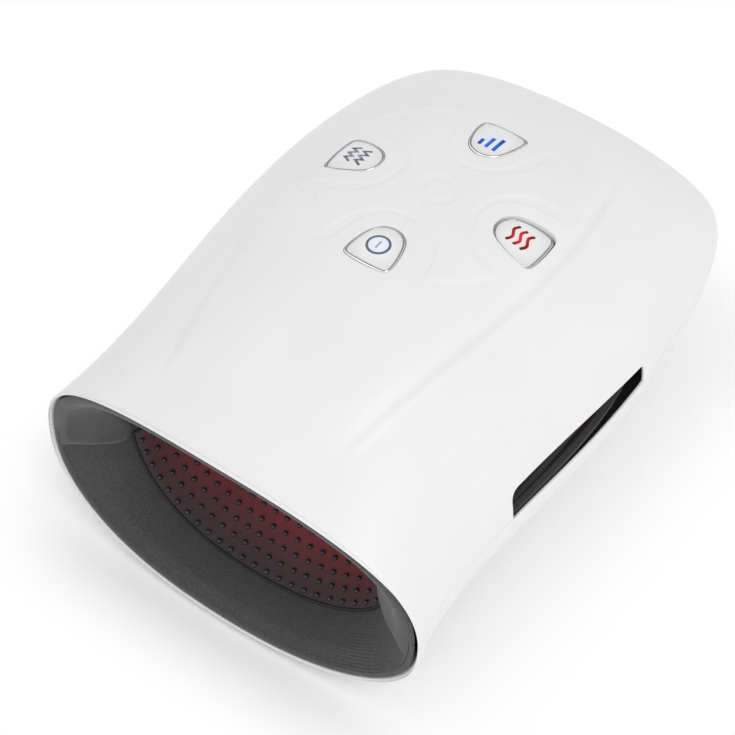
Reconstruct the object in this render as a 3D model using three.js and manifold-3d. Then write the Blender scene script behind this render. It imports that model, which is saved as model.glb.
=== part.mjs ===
// A hand massager: a domed shell that a hand goes into, with airbags, heat and four buttons.
// Millimetres. +X is the right-hand side, +Y runs from the mouth to the closed end, +Z is up.
// The origin lies on the surface that the feet stand on, under the middle of the body.
import * as THREE from "three";
import { mergeVertices } from "three/addons/utils/BufferGeometryUtils.js";
import Module from "manifold-3d";

const wasm = await Module();
wasm.setup();

// Body: its driving sizes, and how its width and height follow them at five even steps.
const bodyLength = 234;
const mouthHalfWidth = 84;
const crownHeight = 112.4;
const widthShares = [1, 0.95, 1.012, 0.994, 0.876];
const heightShares = [0.817, 0.974, 1, 0.976, 0.872];
const seamShares = [0.396, 0.524];
const bellyHeight = 3;
const mouthBow = 7.3;
const planPower = 8.2;
const roofPower = 2.95;
const bellyPower = 3.7;
const roofRoundShares = [2.22, 2.04];
const bellyRoundShares = [2.64, 1.9];
const wallThickness = 2.8;
const clearance = 0.3;
const seatGap = 0.15;
const overrun = 5;

// Thumb slot in each side, above the seam between the two shells. Its ends, like the other
// places along the body, are shares of the body's length, counted from the mouth.
const slotShares = [0.2927, 0.6218];
const slotRiseFront = 14;
const slotRiseBack = 9;
const slotCrown = 3.4;
const slotFrontRadius = 5.5;
const slotBackRadius = 3;
const slotLinerMargin = 1.2;

// Hand cavity and the soft lining around it.
const linerThickness = 2.5;
const lipDepth = 1.6;
const rearBayLength = 42.4;
const cavityCover = 37.4;
const cavityFloor = 16;
const cavityEndPower = 3;
const flareLength = 16;
const floorRampStart = 16;
const floorRampLength = 30;
const wristPinch = 15.5;
const wristPinchDepth = 30;
const wristPinchLength = 24;
const fingerNarrowing = 16;
const fingerNarrowingShare = 0.79;
const matThickness = 1.2;
const matShares = [0.092, 0.953];
const matDegrees = 168;
const filmThickness = 0.6;
const bagDegrees = 90;
const bagDepth = 5;
const bagShares = [0.174, 0.8];
const bagSplitShares = [0.505, 0.532];
const bagEdgeShare = 0.3;

// Vaulted frame between the airbags and the electronics.
const frameThickness = 2;
const frameDropShare = 0.46;
const frameSideInset = 14;
const frameStart = 23;
const frameReach = 3.4;
const frameRibWidth = 3;

// Four buttons on a cross, each a rounded fan whose narrow end points to the middle.
const patternShare = 0.5756;
const patternRadiusShare = 0.4369;
const fanInnerRadius = 7.6;
const fanInnerReach = 3.2;
const fanCornerRadius = 2.2;
const fanCornerReach = 5.8;
const fanCornerSpread = 7.2;
const capProud = 0.9;
const capEdgeProud = 0.45;
const capEdgeRound = 0.5;
const capGap = 0.25;
const bezelWidth = 0.8;
const bezelProud = 0.3;
const bezelFoot = 0.6;
const capCrownShare = 0.5;
const flangeWidth = 1.7;
const flangeThickness = 1;
const stemRadius = 2;
const buttonTravel = 0.6;

// Main board under the buttons, with a push switch below each of them.
const boardMargin = 9.3;
const boardThickness = 1.6;
const boardDrop = 12;
const boardPostRadius = 3;
const boardPostSpread = 28;
const switchWidth = 6;
const switchHeight = 3.5;
const switchBoreRadius = 1.85;
const plungerRadius = 1.5;
const plungerSpare = 0.4;
const plungerDepth = 2.4;
const chipWidth = 10;
const chipHeight = 1.5;
const batteryWidth = 66;
const batteryStart = 36;
const batteryGap = 10.7;
const batteryHeight = 9.6;
const batteryCorner = 3;

// Rear bay: a tray on posts that carries the air pump, two valves and the charging socket.
const trayHeightShare = 0.501;
const trayThickness = 2;
const trayInset = 17.6;
const trayFrontGap = 9.9;
const trayBackGap = 7;
const trayPostRadius = 3;
const trayPostInset = 12;
const trayPostEdge = 4;
const pumpGap = 1.2;
const motorRadius = 11;
const motorLength = 21;
const motorWall = 1.4;
const rotorRadius = 7.2;
const rotorEndGap = 1.2;
const shaftRadius = 1;
const shaftReach = 8.5;
const shaftHoleRadius = 1.5;
const crankRadius = 4.5;
const crankLength = 3.5;
const crankOffset = 1.6;
const crankGap = 2;
const housingRadius = 12.5;
const housingLength = 11;
const housingWall = 1.8;
const diaphragmThickness = 1.6;
const headCapLength = 3.5;
const nozzleRadius = 1.8;
const nozzleBoreRadius = 0.9;
const nozzleLength = 4;
const cradleBase = 2;
const cradleHalfWidth = 7;
const cradleRise = 5;
const valveEdge = 14.6;
const valveSpacing = 12.4;
const valveBlockLength = 10;
const valveBlockHeight = 9;
const valveBlockMargin = 6.5;
const valveRadius = 5.8;
const valveHeight = 15;
const valveBase = 3;
const valveBoreRadius = 3.1;
const valvePlungerRadius = 2.8;
const valvePlungerLength = 12;
const valveLift = 1.2;
const hoseRadius = 2;
const hoseLead = 0.9;
const hoseBend = 4.2;
const hoseRise = 2.4;
const hoseEndDegrees = 20;
const hoseRunShares = [0.25, 0.5, 0.75];
const portWidth = 8.9;
const portHeight = 3.2;
const portDepth = 7.4;
const portWall = 0.35;
const portCornerRadius = 1.5;
const portDrop = 13.9;
const portBoardWidth = 18;
const portBoardLength = 7.5;
const portBoardThickness = 1.2;
const portBoardMargin = 1.4;
const portPostRadius = 1.8;

// Screws from below, the bosses that they join, and the rubber feet.
const bossInsets = [11.5, 18];
const bossShares = [0.158, 0.8205];
const bossRadius = 4;
const bossSeat = 8;
const screwRadius = 1.3;
const screwHoleRadius = 1.6;
const screwReach = 6;
const screwHeadRadius = 2.5;
const screwHeadHeight = 1.8;
const screwWellRadius = 3;
const socketRadius = 1;
const socketDepth = 0.9;
const socketSides = 6;
const footInsets = [38, 53];
const footShares = [0.1496, 0.7051];
const footRadius = 8;
const footChamfer = 0.8;
const footReach = 14;

// How finely curved things are divided.
const bodySteps = 20;
const roofSteps = 20;
const bellySteps = 16;
const linerSteps = 12;
const linerRoundSteps = 12;
const fanSteps = 20;
const fanPower = 10;
const roundSteps = 16;
const hoseSteps = 20;
const vaultSteps = 14;
const hoseSides = 6;
const cornerSteps = 3;
const mergeDistance = 0.0005;

// Places round a section, in degrees, and the same turns in radians.
const rightSeam = 0;
const crown = 90;
const leftSeam = 180;
const keel = 270;
const fullCircle = 360;
const halfTurn = Math.PI;
const fullTurn = 2 * Math.PI;

// Places that follow from the sizes.
const mouthY = -bodyLength / 2;
const backY = bodyLength / 2;
const atShare = (share) => mouthY + share * bodyLength;
const patternY = atShare(patternShare);
const patternRadius = mouthHalfWidth * patternRadiusShare;
const boardRadius = patternRadius + boardMargin;
const batteryFrontY = mouthY + batteryStart;
const batteryLength = patternY - boardRadius - batteryGap - batteryFrontY;
const batteryY = batteryFrontY + batteryLength / 2;
const cavityDepth = bodyLength - lipDepth - rearBayLength;
const cavityEndY = mouthY + lipDepth + cavityDepth;
const cavityTop = crownHeight - cavityCover;
const trayFrontY = cavityEndY + trayFrontGap;
const trayBackY = backY - trayBackGap;
const pumpY = cavityEndY + linerThickness + pumpGap + housingRadius;
const plungerProud = buttonTravel + plungerSpare;

// Materials, one for each finish.
function finish(color, roughness, metalness = 0) {
  return new THREE.MeshStandardMaterial({ color, roughness, metalness });
}
const whiteShell = () => finish(0xe9e8e8, 0.42);
const capWhite = () => finish(0xf0f0f0, 0.35);
const chrome = () => finish(0xd8dadc, 0.12, 1);
const greyKnit = () => finish(0x4c4c4f, 0.95);
const nubRubber = () => finish(0x2b2b2e, 0.55);
const heatFilm = () => finish(0xb8682c, 0.5);
const bagFilm = () => finish(0xb9bcc2, 0.4);
const framePlastic = () => finish(0x2f3134, 0.6);
const boardGreen = () => finish(0x1f5a3a, 0.5);
const switchBlack = () => finish(0x1a1a1c, 0.5);
const switchRed = () => finish(0x8c2b22, 0.5);
const cellSilver = () => finish(0x9fa6ad, 0.35, 0.6);
const steel = () => finish(0xb4b6b8, 0.3, 1);
const pumpBlack = () => finish(0x202124, 0.5);
const brass = () => finish(0xb08d4a, 0.3, 1);
const foamGrey = () => finish(0x6f7276, 0.9);
const hoseClear = () => finish(0xd7d9d6, 0.35);
const footRubber = () => finish(0x2c2d30, 0.85);

// The value at a share from 0 to 1 of a curve through evenly spaced shares.
function through(values, share) {
  const last = values.length - 1;
  let sum = 0;
  for (let i = 0; i <= last; i += 1) {
    let term = values[i];
    for (let j = 0; j <= last; j += 1) {
      if (j !== i) term *= (share * last - j) / (i - j);
    }
    sum += term;
  }
  return sum;
}

// One for most of the length, falling to zero at the closed end along a superellipse.
function endRound(share, power) {
  return Math.max(0, 1 - share ** (2 * power)) ** (1 / power);
}

function signedPower(value, power) {
  return Math.sign(value) * Math.abs(value) ** power;
}

function smooth(value) {
  const t = Math.min(Math.max(value, 0), 1);
  return t * t * (3 - 2 * t);
}

const seamHeight = (share) => crownHeight * THREE.MathUtils.lerp(...seamShares, share);
const shareAt = (y) => (y - mouthY) / bodyLength;
const halfWidthAt = (share) => mouthHalfWidth * through(widthShares, share);
const roofHeightAt = (share) => crownHeight * through(heightShares, share);
const roofRound = (share) => THREE.MathUtils.lerp(...roofRoundShares, share);
const bellyRound = (share) => THREE.MathUtils.lerp(...bellyRoundShares, share);

// A point of the body's surface, moved inwards by inset, at a place round its section.
function bodyPoint(share, place, inset = 0) {
  const angle = THREE.MathUtils.degToRad(place);
  const half = (halfWidthAt(share) - inset) * endRound(share, planPower);
  const seam = seamHeight(share);
  const up = (roofHeightAt(share) - seam - inset) * endRound(share, roofPower);
  const down = (seam - bellyHeight - inset) * endRound(share, bellyPower);
  const rises = Math.sin(angle) >= 0;
  const power = 2 / (rises ? roofRound(share) : bellyRound(share));
  const across = signedPower(Math.cos(angle), power);
  const x = half * across;
  const z = seam + (rises ? up : down) * signedPower(Math.sin(angle), power);
  const y = mouthY + share * (bodyLength - inset) + mouthBow * (1 - share) ** 2 * across ** 2;
  return new THREE.Vector3(x, y, z);
}

// How far a rounded section of a half width rises at a distance from its middle.
function riseAt(x, half, rise, power) {
  return rise * Math.max(0, 1 - (Math.abs(x) / half) ** power) ** (1 / power);
}

// The heights of the body's roof and of its underside over a place.
function roofAt(x, y) {
  let share = shareAt(y);
  for (let turn = 0; turn < 3; turn += 1) {
    const across = x / halfWidthAt(share);
    share = shareAt(y - mouthBow * (1 - share) ** 2 * across ** 2);
  }
  const seam = seamHeight(share);
  const half = halfWidthAt(share) * endRound(share, planPower);
  const up = (roofHeightAt(share) - seam) * endRound(share, roofPower);
  return seam + riseAt(x, half, up, roofRound(share));
}

function bellyAt(x, y) {
  const share = shareAt(y);
  const seam = seamHeight(share);
  const half = halfWidthAt(share) * endRound(share, planPower);
  const down = (seam - bellyHeight) * endRound(share, bellyPower);
  return seam - riseAt(x, half, down, bellyRound(share));
}

// The hand cavity's section at a share of its depth, moved outwards by outset.
function cavitySection(share, outset) {
  const deep = share * cavityDepth;
  const bodyShare = (lipDepth + deep) / bodyLength;
  const seam = seamHeight(bodyShare);
  const pinch = wristPinch * Math.exp(-(((deep - wristPinchDepth) / wristPinchLength) ** 4));
  const narrowing = fingerNarrowing * smooth((share - fingerNarrowingShare) / (1 - fingerNarrowingShare));
  const widest = halfWidthAt(bodyShare) - wallThickness - clearance - linerThickness;
  const mouthTop = roofHeightAt(0) - wallThickness - clearance - linerThickness;
  const top = cavityTop + (mouthTop - cavityTop) * Math.exp(-((deep / flareLength) ** 2));
  const mouthFloor = bellyHeight + wallThickness + clearance + linerThickness;
  const ramp = smooth((deep - floorRampStart) / floorRampLength);
  const floor = THREE.MathUtils.lerp(mouthFloor, cavityFloor, ramp);
  const closing = endRound(share, cavityEndPower);
  return {
    bodyShare,
    seam,
    floor,
    half: (widest - pinch - narrowing + outset) * closing,
    up: (top - seam + outset) * closing,
    down: (seam - floor + outset) * closing,
  };
}

// A point of the cavity's surface, moved outwards by outset, at a place round it.
function cavityPoint(share, place, outset = 0) {
  const angle = THREE.MathUtils.degToRad(place);
  const { bodyShare, seam, half, up, down } = cavitySection(share, outset);
  const rises = Math.sin(angle) >= 0;
  const power = 2 / (rises ? roofRound(bodyShare) : bellyRound(bodyShare));
  const across = signedPower(Math.cos(angle), power);
  const z = seam + (rises ? up : down) * signedPower(Math.sin(angle), power);
  const bow = mouthBow * (1 - bodyShare) ** 2 * across ** 2;
  const y = mouthY + lipDepth + share * (cavityDepth + outset) + bow;
  return new THREE.Vector3(half * across, y, z);
}

// The height of the cavity's roof, moved outwards by outset, over a place.
function cavityRoofAt(x, y, outset) {
  const share = (y - mouthY - lipDepth) / (cavityDepth + outset);
  const { bodyShare, seam, half, up } = cavitySection(share, outset);
  return seam + riseAt(x, half, up, roofRound(bodyShare));
}

// A geometry with its shared corners merged and its faces turned outwards; faces that have
// shrunk to nothing are left out.
function facingOut(geometry) {
  const bare = new THREE.BufferGeometry();
  bare.setAttribute("position", geometry.getAttribute("position"));
  if (geometry.index) bare.setIndex(geometry.index);
  const merged = mergeVertices(bare, mergeDistance);
  const place = merged.getAttribute("position");
  const corner = (i) => new THREE.Vector3().fromBufferAttribute(place, i);
  const kept = [];
  let volume = 0;
  for (let i = 0; i < merged.index.count; i += 3) {
    const [a, b, c] = merged.index.array.slice(i, i + 3);
    if (a === b || b === c || c === a) continue;
    volume += corner(a).dot(corner(b).cross(corner(c)));
    kept.push([a, b, c]);
  }
  merged.setIndex(kept.flatMap(([a, b, c]) => (volume < 0 ? [a, c, b] : [a, b, c])));
  return merged;
}

function closedGeometry(points, faces) {
  const raw = new THREE.BufferGeometry();
  const numbers = points.flatMap((point) => point.toArray());
  raw.setAttribute("position", new THREE.Float32BufferAttribute(numbers, 3));
  raw.setIndex(faces.flat());
  return facingOut(raw);
}

const quad = (a, b, c, d) => [a, b, c, a, c, d];

// A curved wall between an outer and an inner surface, each a function of a share and a
// place, over the given shares and places.
function wall(outer, inner, shares, places) {
  const points = [outer, inner].flatMap((surface) => {
    return shares.flatMap((share) => places.map((place) => surface(share, place)));
  });
  const [rows, columns] = [shares.length - 1, places.length - 1];
  const out = (i, j) => i * (columns + 1) + j;
  const inn = (i, j) => (rows + 1 + i) * (columns + 1) + j;
  const faces = [];
  for (let i = 0; i < rows; i += 1) {
    for (let j = 0; j < columns; j += 1) {
      faces.push(quad(out(i, j), out(i + 1, j), out(i + 1, j + 1), out(i, j + 1)));
      faces.push(quad(inn(i, j), inn(i, j + 1), inn(i + 1, j + 1), inn(i + 1, j)));
    }
    faces.push(quad(out(i + 1, 0), out(i, 0), inn(i, 0), inn(i + 1, 0)));
    faces.push(quad(out(i, columns), out(i + 1, columns), inn(i + 1, columns), inn(i, columns)));
  }
  for (let j = 0; j < columns; j += 1) {
    faces.push(quad(out(0, j), out(0, j + 1), inn(0, j + 1), inn(0, j)));
    faces.push(quad(out(rows, j + 1), out(rows, j), inn(rows, j), inn(rows, j + 1)));
  }
  return closedGeometry(points, faces);
}

// A solid through loops of equally many points. A ring joins its last loop to its first;
// otherwise each end closes on the middle of its loop.
function loft(loops, ring = false) {
  const count = loops[0].length;
  const points = loops.flat();
  const faces = [];
  const joins = ring ? loops.length : loops.length - 1;
  for (let i = 0; i < joins; i += 1) {
    const next = (i + 1) % loops.length;
    for (let j = 0; j < count; j += 1) {
      const k = (j + 1) % count;
      faces.push(quad(i * count + j, i * count + k, next * count + k, next * count + j));
    }
  }
  if (!ring) {
    for (const [loop, turned] of [[0, true], [loops.length - 1, false]]) {
      const middle = new THREE.Vector3();
      loops[loop].forEach((point) => middle.addScaledVector(point, 1 / count));
      points.push(middle);
      for (let j = 0; j < count; j += 1) {
        const a = loop * count + j;
        const b = loop * count + ((j + 1) % count);
        faces.push(turned ? [b, a, points.length - 1] : [a, b, points.length - 1]);
      }
    }
  }
  return closedGeometry(points, faces);
}

// Between three.js geometries and solids that can be joined and cut.
function solid(geometry) {
  const closed = facingOut(geometry);
  const vertProperties = closed.getAttribute("position").array;
  const triVerts = new Uint32Array(closed.index.array);
  return new wasm.Manifold(new wasm.Mesh({ numProp: 3, vertProperties, triVerts }));
}

function geometryOf(body) {
  const mesh = body.getMesh();
  const geometry = new THREE.BufferGeometry();
  geometry.setAttribute("position", new THREE.Float32BufferAttribute(mesh.vertProperties, 3));
  geometry.setIndex([...mesh.triVerts]);
  geometry.computeVertexNormals();
  return geometry;
}

const joined = (first, ...others) => others.reduce((sum, other) => sum.add(other), first);
const less = (first, ...others) => others.reduce((rest, other) => rest.subtract(other), first);

// Evenly spaced values, and shares of a length that crowd towards its closed end.
const evenly = (low, high, count) => {
  return Array.from({ length: count + 1 }, (_, i) => low + ((high - low) * i) / count);
};
const crowded = (count) => evenly(0, halfTurn / 2, count).map(Math.sin);
const bodyShares = crowded(bodySteps);
const roofPlaces = evenly(rightSeam, leftSeam, roofSteps);
const bellyPlaces = evenly(leftSeam, fullCircle, bellySteps);

// The whole inside of the body's surface, moved inwards by inset.
function filledBody(inset) {
  const places = [...roofPlaces.slice(0, -1), ...bellyPlaces.slice(0, -1)];
  return solid(loft(bodyShares.map((share) => places.map((place) => bodyPoint(share, place, inset)))));
}

// An upright cylinder, cone or tube from one height to another.
function upright(radius, low, high, x = 0, y = 0, topRadius = radius, steps = roundSteps) {
  const geometry = new THREE.CylinderGeometry(topRadius, radius, high - low, steps);
  geometry.rotateX(halfTurn / 2);
  geometry.translate(x, y, (low + high) / 2);
  return geometry;
}

function box(width, length, height, x, y, low) {
  const geometry = new THREE.BoxGeometry(width, length, height);
  geometry.translate(x, y, low + height / 2);
  return geometry;
}

// A profile of [radius, height] pairs turned about the upright axis. It starts and ends on
// the axis, or closes on itself.
function turned(profile, steps = roundSteps) {
  const points = profile.map(([radius, height]) => new THREE.Vector2(radius, height));
  if (profile[0][0] > 0) points.push(points[0].clone());
  const geometry = new THREE.LatheGeometry(points, steps);
  geometry.rotateX(halfTurn / 2);
  return facingOut(geometry);
}

// A tube along points, with an even round section.
function tube(places, radius) {
  const path = new THREE.CatmullRomCurve3(places.map((place) => new THREE.Vector3(...place)));
  const section = new THREE.Shape();
  for (let i = 0; i < hoseSides; i += 1) {
    const angle = (i / hoseSides) * fullTurn;
    const go = i === 0 ? "moveTo" : "lineTo";
    section[go](radius * Math.cos(angle), radius * Math.sin(angle));
  }
  section.closePath();
  return new THREE.ExtrudeGeometry(section, { extrudePath: path, steps: hoseSteps, bevelEnabled: false });
}

const group = new THREE.Group();
function addNode(name, geometry, material, parent = group) {
  const mesh = new THREE.Mesh(geometry, material);
  mesh.name = name;
  parent.add(mesh);
  return mesh;
}

// The outline of a button, as the loop of points whose outward normals turn once round.
// The fan is a smooth hull round a large inner circle and two small outer ones; growth moves
// it outwards and turn swings its wide end away from the middle of the pattern.
function fanLoop(growth, turn, heightAt, scale = 1) {
  const circles = [
    [-fanInnerReach, 0, fanInnerRadius],
    [fanCornerReach, fanCornerSpread, fanCornerRadius],
    [fanCornerReach, -fanCornerSpread, fanCornerRadius],
  ];
  const loop = [];
  for (let i = 0; i < fanSteps; i += 1) {
    const angle = (i / fanSteps) * fullTurn;
    const normal = [Math.cos(angle), Math.sin(angle)];
    const reaches = circles.map(([u, v, radius]) => u * normal[0] + v * normal[1] + radius);
    const slopes = circles.map(([u, v]) => v * normal[0] - u * normal[1]);
    const reach = reaches.reduce((sum, value) => sum + value ** fanPower, 0) ** (1 / fanPower);
    const pull = reaches.reduce((sum, value, k) => sum + value ** (fanPower - 1) * slopes[k], 0);
    const slope = pull / reach ** (fanPower - 1);
    const u = scale * ((reach + growth) * normal[0] - slope * normal[1]);
    const v = scale * ((reach + growth) * normal[1] + slope * normal[0]);
    const x = (patternRadius + u) * Math.cos(turn) - v * Math.sin(turn);
    const y = patternY + (patternRadius + u) * Math.sin(turn) + v * Math.cos(turn);
    loop.push(new THREE.Vector3(x, y, heightAt(x, y)));
  }
  return loop;
}

// A round loop of as many points as a fan has, about the centre of the same button.
function roundLoop(radius, turn, heightAt) {
  const x = patternRadius * Math.cos(turn);
  const y = patternY + patternRadius * Math.sin(turn);
  const loop = [];
  for (let i = 0; i < fanSteps; i += 1) {
    const angle = (i / fanSteps) * fullTurn + turn;
    const [px, py] = [x + radius * Math.cos(angle), y + radius * Math.sin(angle)];
    loop.push(new THREE.Vector3(px, py, heightAt(px, py)));
  }
  return loop;
}

const overRoof = (rise) => (x, y) => roofAt(x, y) + rise;
const level = (height) => () => height;

const buttons = [
  { name: "power", turn: -halfTurn / 2 },
  { name: "heat", turn: 0 },
  { name: "intensity", turn: halfTurn / 2 },
  { name: "mode", turn: halfTurn },
];
const lowestRoof = Math.min(roofAt(patternRadius, patternY), roofAt(0, patternY + patternRadius));
const boardBottom = lowestRoof - boardDrop;
const boardTop = boardBottom + boardThickness;
const plungerTop = boardTop + seatGap + switchHeight + plungerProud;
const bezelDrop = wallThickness + bezelFoot;
const flangeDrop = bezelDrop + clearance;

function addButton({ name, turn }) {
  const flangeBase = flangeDrop + flangeThickness;
  const stem = level(plungerTop + clearance);
  const cap = loft([
    roundLoop(stemRadius, turn, stem),
    roundLoop(stemRadius, turn, overRoof(-flangeBase)),
    fanLoop(flangeWidth, turn, overRoof(-flangeBase)),
    fanLoop(flangeWidth, turn, overRoof(-flangeDrop)),
    fanLoop(0, turn, overRoof(-flangeDrop)),
    fanLoop(0, turn, overRoof(capEdgeProud - capEdgeRound)),
    fanLoop(-capEdgeRound, turn, overRoof(capEdgeProud)),
    fanLoop(-capEdgeRound, turn, overRoof(capProud), capCrownShare),
  ]);
  addNode("button_" + name, cap, capWhite());
  const outer = capGap + bezelWidth;
  const bezel = loft(
    [
      fanLoop(outer, turn, overRoof(-bezelDrop)),
      fanLoop(outer, turn, overRoof(bezelProud)),
      fanLoop(capGap, turn, overRoof(bezelProud)),
      fanLoop(capGap, turn, overRoof(-bezelDrop)),
    ],
    true,
  );
  addNode("bezel_" + name, bezel, chrome());
  const x = patternRadius * Math.cos(turn);
  const y = patternY + patternRadius * Math.sin(turn);
  const seat = boardTop + seatGap;
  const body = solid(box(switchWidth, switchWidth, switchHeight, x, y, seat));
  const bore = solid(upright(switchBoreRadius, seat - overrun, seat + switchHeight + overrun, x, y));
  addNode("switch_" + name, geometryOf(body.subtract(bore)), switchBlack());
  const plunger = upright(plungerRadius, plungerTop - plungerProud - plungerDepth, plungerTop, x, y);
  addNode("switch_plunger_" + name, plunger, switchRed());
}

// The side view of a thumb slot, as points of Y and Z; it runs down past the seam.
function slotOutline(margin) {
  const [front, back] = [atShare(slotShares[0]) - margin, atShare(slotShares[1]) + margin];
  const low = seamHeight(shareAt(front)) - overrun;
  const topFront = seamHeight(slotShares[0]) + slotRiseFront + margin;
  const topBack = seamHeight(slotShares[1]) + slotRiseBack + margin;
  const middle = (front + back) / 2;
  const outline = new THREE.Shape();
  outline.moveTo(back, low);
  outline.lineTo(back, topBack - slotBackRadius);
  outline.quadraticCurveTo(back, topBack, back - slotBackRadius, topBack);
  const crest = (topFront + topBack) / 2 + slotCrown;
  outline.quadraticCurveTo(middle, crest, front + slotFrontRadius, topFront);
  outline.quadraticCurveTo(front, topFront, front, topFront - slotFrontRadius);
  outline.lineTo(front, low);
  outline.closePath();
  return outline;
}

// A cutter through one side of the body, from inside the cavity to beyond the shell.
function slotCutter(side, margin) {
  const depth = mouthHalfWidth + overrun;
  const geometry = new THREE.ExtrudeGeometry(slotOutline(margin), { depth, bevelEnabled: false });
  const axes = new THREE.Matrix4().makeBasis(
    new THREE.Vector3(0, 1, 0),
    new THREE.Vector3(0, 0, 1),
    new THREE.Vector3(1, 0, 0),
  );
  geometry.applyMatrix4(axes);
  geometry.translate(side > 0 ? (mouthHalfWidth / 2) : -(mouthHalfWidth / 2) - depth, 0, 0);
  return solid(geometry);
}

const bothSides = (insets, shares) => insets.flatMap((inset, i) => {
  const x = mouthHalfWidth - inset;
  return [[-x, atShare(shares[i])], [x, atShare(shares[i])]];
});
const bosses = bothSides(bossInsets, bossShares);
const feet = bothSides(footInsets, footShares);
const headSeat = (y) => seamHeight(shareAt(y)) - bossSeat;
const portZ = seamHeight(1) - portDrop;
const trayTop = THREE.MathUtils.lerp(bellyHeight, seamHeight(1), trayHeightShare);
const trayHalfWidth = halfWidthAt(1) - trayInset;
const trayPostX = trayHalfWidth - trayPostInset;
const trayPosts = [trayFrontY + trayPostEdge, trayBackY - trayPostEdge].flatMap(
  (y) => [[-trayPostX, y], [trayPostX, y]],
);
const slotCutters = (margin) => [slotCutter(-1, margin), slotCutter(1, margin)];

function addShells() {
  const within = filledBody(wallThickness / 2);
  const rise = crownHeight + overrun;
  const skin = (inset) => (share, place) => bodyPoint(share, place, inset);
  const roofWall = wall(skin(0), skin(wallThickness), bodyShares, roofPlaces);
  const upperBosses = bosses.map(([x, y]) => {
    const low = seamHeight(shareAt(y)) + 2 * clearance;
    const post = solid(upright(bossRadius, low, rise, x, y)).intersect(within);
    return post.subtract(solid(upright(screwHoleRadius, low - overrun, low + bossSeat, x, y)));
  });
  const buttonHoles = buttons.map(({ turn }) => {
    const growth = capGap + bezelWidth + seatGap;
    const low = boardTop;
    return solid(loft([fanLoop(growth, turn, level(low)), fanLoop(growth, turn, level(rise))]));
  });
  const roof = less(joined(solid(roofWall), ...upperBosses), ...buttonHoles, ...slotCutters(0));
  addNode("upper_shell", geometryOf(roof), whiteShell());

  const seamDrop = (place) => (place === leftSeam || place === fullCircle ? clearance : 0);
  const lowered = (inset) => (share, place) => {
    const point = bodyPoint(share, place, inset);
    return point.setZ(point.z - seamDrop(place));
  };
  const bellyWall = wall(lowered(0), lowered(wallThickness), bodyShares, bellyPlaces);
  const lowerBosses = bosses.map(([x, y]) => {
    const high = seamHeight(shareAt(y)) - 2 * clearance;
    return solid(upright(bossRadius, 0, high, x, y)).intersect(within);
  });
  const wells = bosses.flatMap(([x, y]) => [
    solid(upright(screwWellRadius, -overrun, headSeat(y) - seatGap, x, y)),
    solid(upright(screwHoleRadius, 0, crownHeight, x, y)),
  ]);
  const posts = trayPosts.map(([x, y]) => {
    const high = trayTop - trayThickness - seatGap;
    return solid(upright(trayPostRadius, 0, high, x, y)).intersect(within);
  });
  const opening = extruded(portShape(seatGap), backY);
  opening.rotateX(halfTurn / 2);
  opening.translate(0, backY + overrun, portZ);
  const belly = less(joined(solid(bellyWall), ...lowerBosses, ...posts), ...wells, solid(opening));
  addNode("lower_shell", geometryOf(belly), whiteShell());
}

function extruded(shape, depth) {
  return new THREE.ExtrudeGeometry(shape, { depth, bevelEnabled: false, curveSegments: cornerSteps });
}

// The rounded outline of the charging socket, seen from behind.
function portShape(growth) {
  const [half, rise] = [portWidth / 2 + growth, portHeight / 2 + growth];
  const radius = portCornerRadius + growth;
  const shape = new THREE.Shape();
  shape.moveTo(half - radius, -rise);
  shape.absarc(half - radius, -rise + radius, radius, -halfTurn / 2, 0);
  shape.absarc(half - radius, rise - radius, radius, 0, halfTurn / 2);
  shape.absarc(-half + radius, rise - radius, radius, halfTurn / 2, halfTurn);
  shape.absarc(-half + radius, -rise + radius, radius, halfTurn, halfTurn * 1.5);
  return shape;
}

// Every layer of the lining has its corners at the same shares and places, so that the
// layers lie evenly on each other.
const ascending = (values) => [...new Set(values)].sort((a, b) => a - b);
const cavityShares = ascending([
  ...crowded(linerSteps), ...matShares, ...bagShares, ...bagSplitShares,
]);
const about = (middle, spread) => [middle - spread / 2, middle + spread / 2];
const matPlaces = about(keel, matDegrees);
const cavityPlaces = ascending([
  ...evenly(rightSeam, fullCircle, 2 * linerRoundSteps),
  ...about(crown, bagDegrees),
  ...about(keel, bagDegrees),
  ...matPlaces,
]);

// A layer of the lining between two outsets, over part of the cavity.
function layer(low, high, [start, end], [from, to]) {
  const shares = cavityShares.filter((share) => share >= start && share <= end);
  const places = cavityPlaces.filter((place) => place >= from && place <= to);
  const at = (outset) => (share, place) => cavityPoint(share, place, outset(share, place));
  return wall(at(high), at(low), shares, places);
}

const filmOutset = linerThickness + seatGap;
const bagOutset = linerThickness + clearance;
const palmBagOutset = filmOutset + filmThickness + seatGap;
const palmRoom = (share) => {
  return cavitySection(share, 0).floor - bellyHeight - wallThickness - palmBagOutset - 3 * clearance;
};

// An airbag: thickest in its middle and drawn in towards its four sides.
function airbag(outset, depthAt, shares, places) {
  const bulge = (value, [low, high]) => 1 - (2 * ((value - low) / (high - low)) - 1) ** 4;
  const high = (share, place) => {
    const swell = bulge(share, shares) * bulge(place, places);
    return outset + depthAt(share) * THREE.MathUtils.lerp(bagEdgeShare, 1, swell);
  };
  return layer(level(outset), high, shares, places);
}

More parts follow.
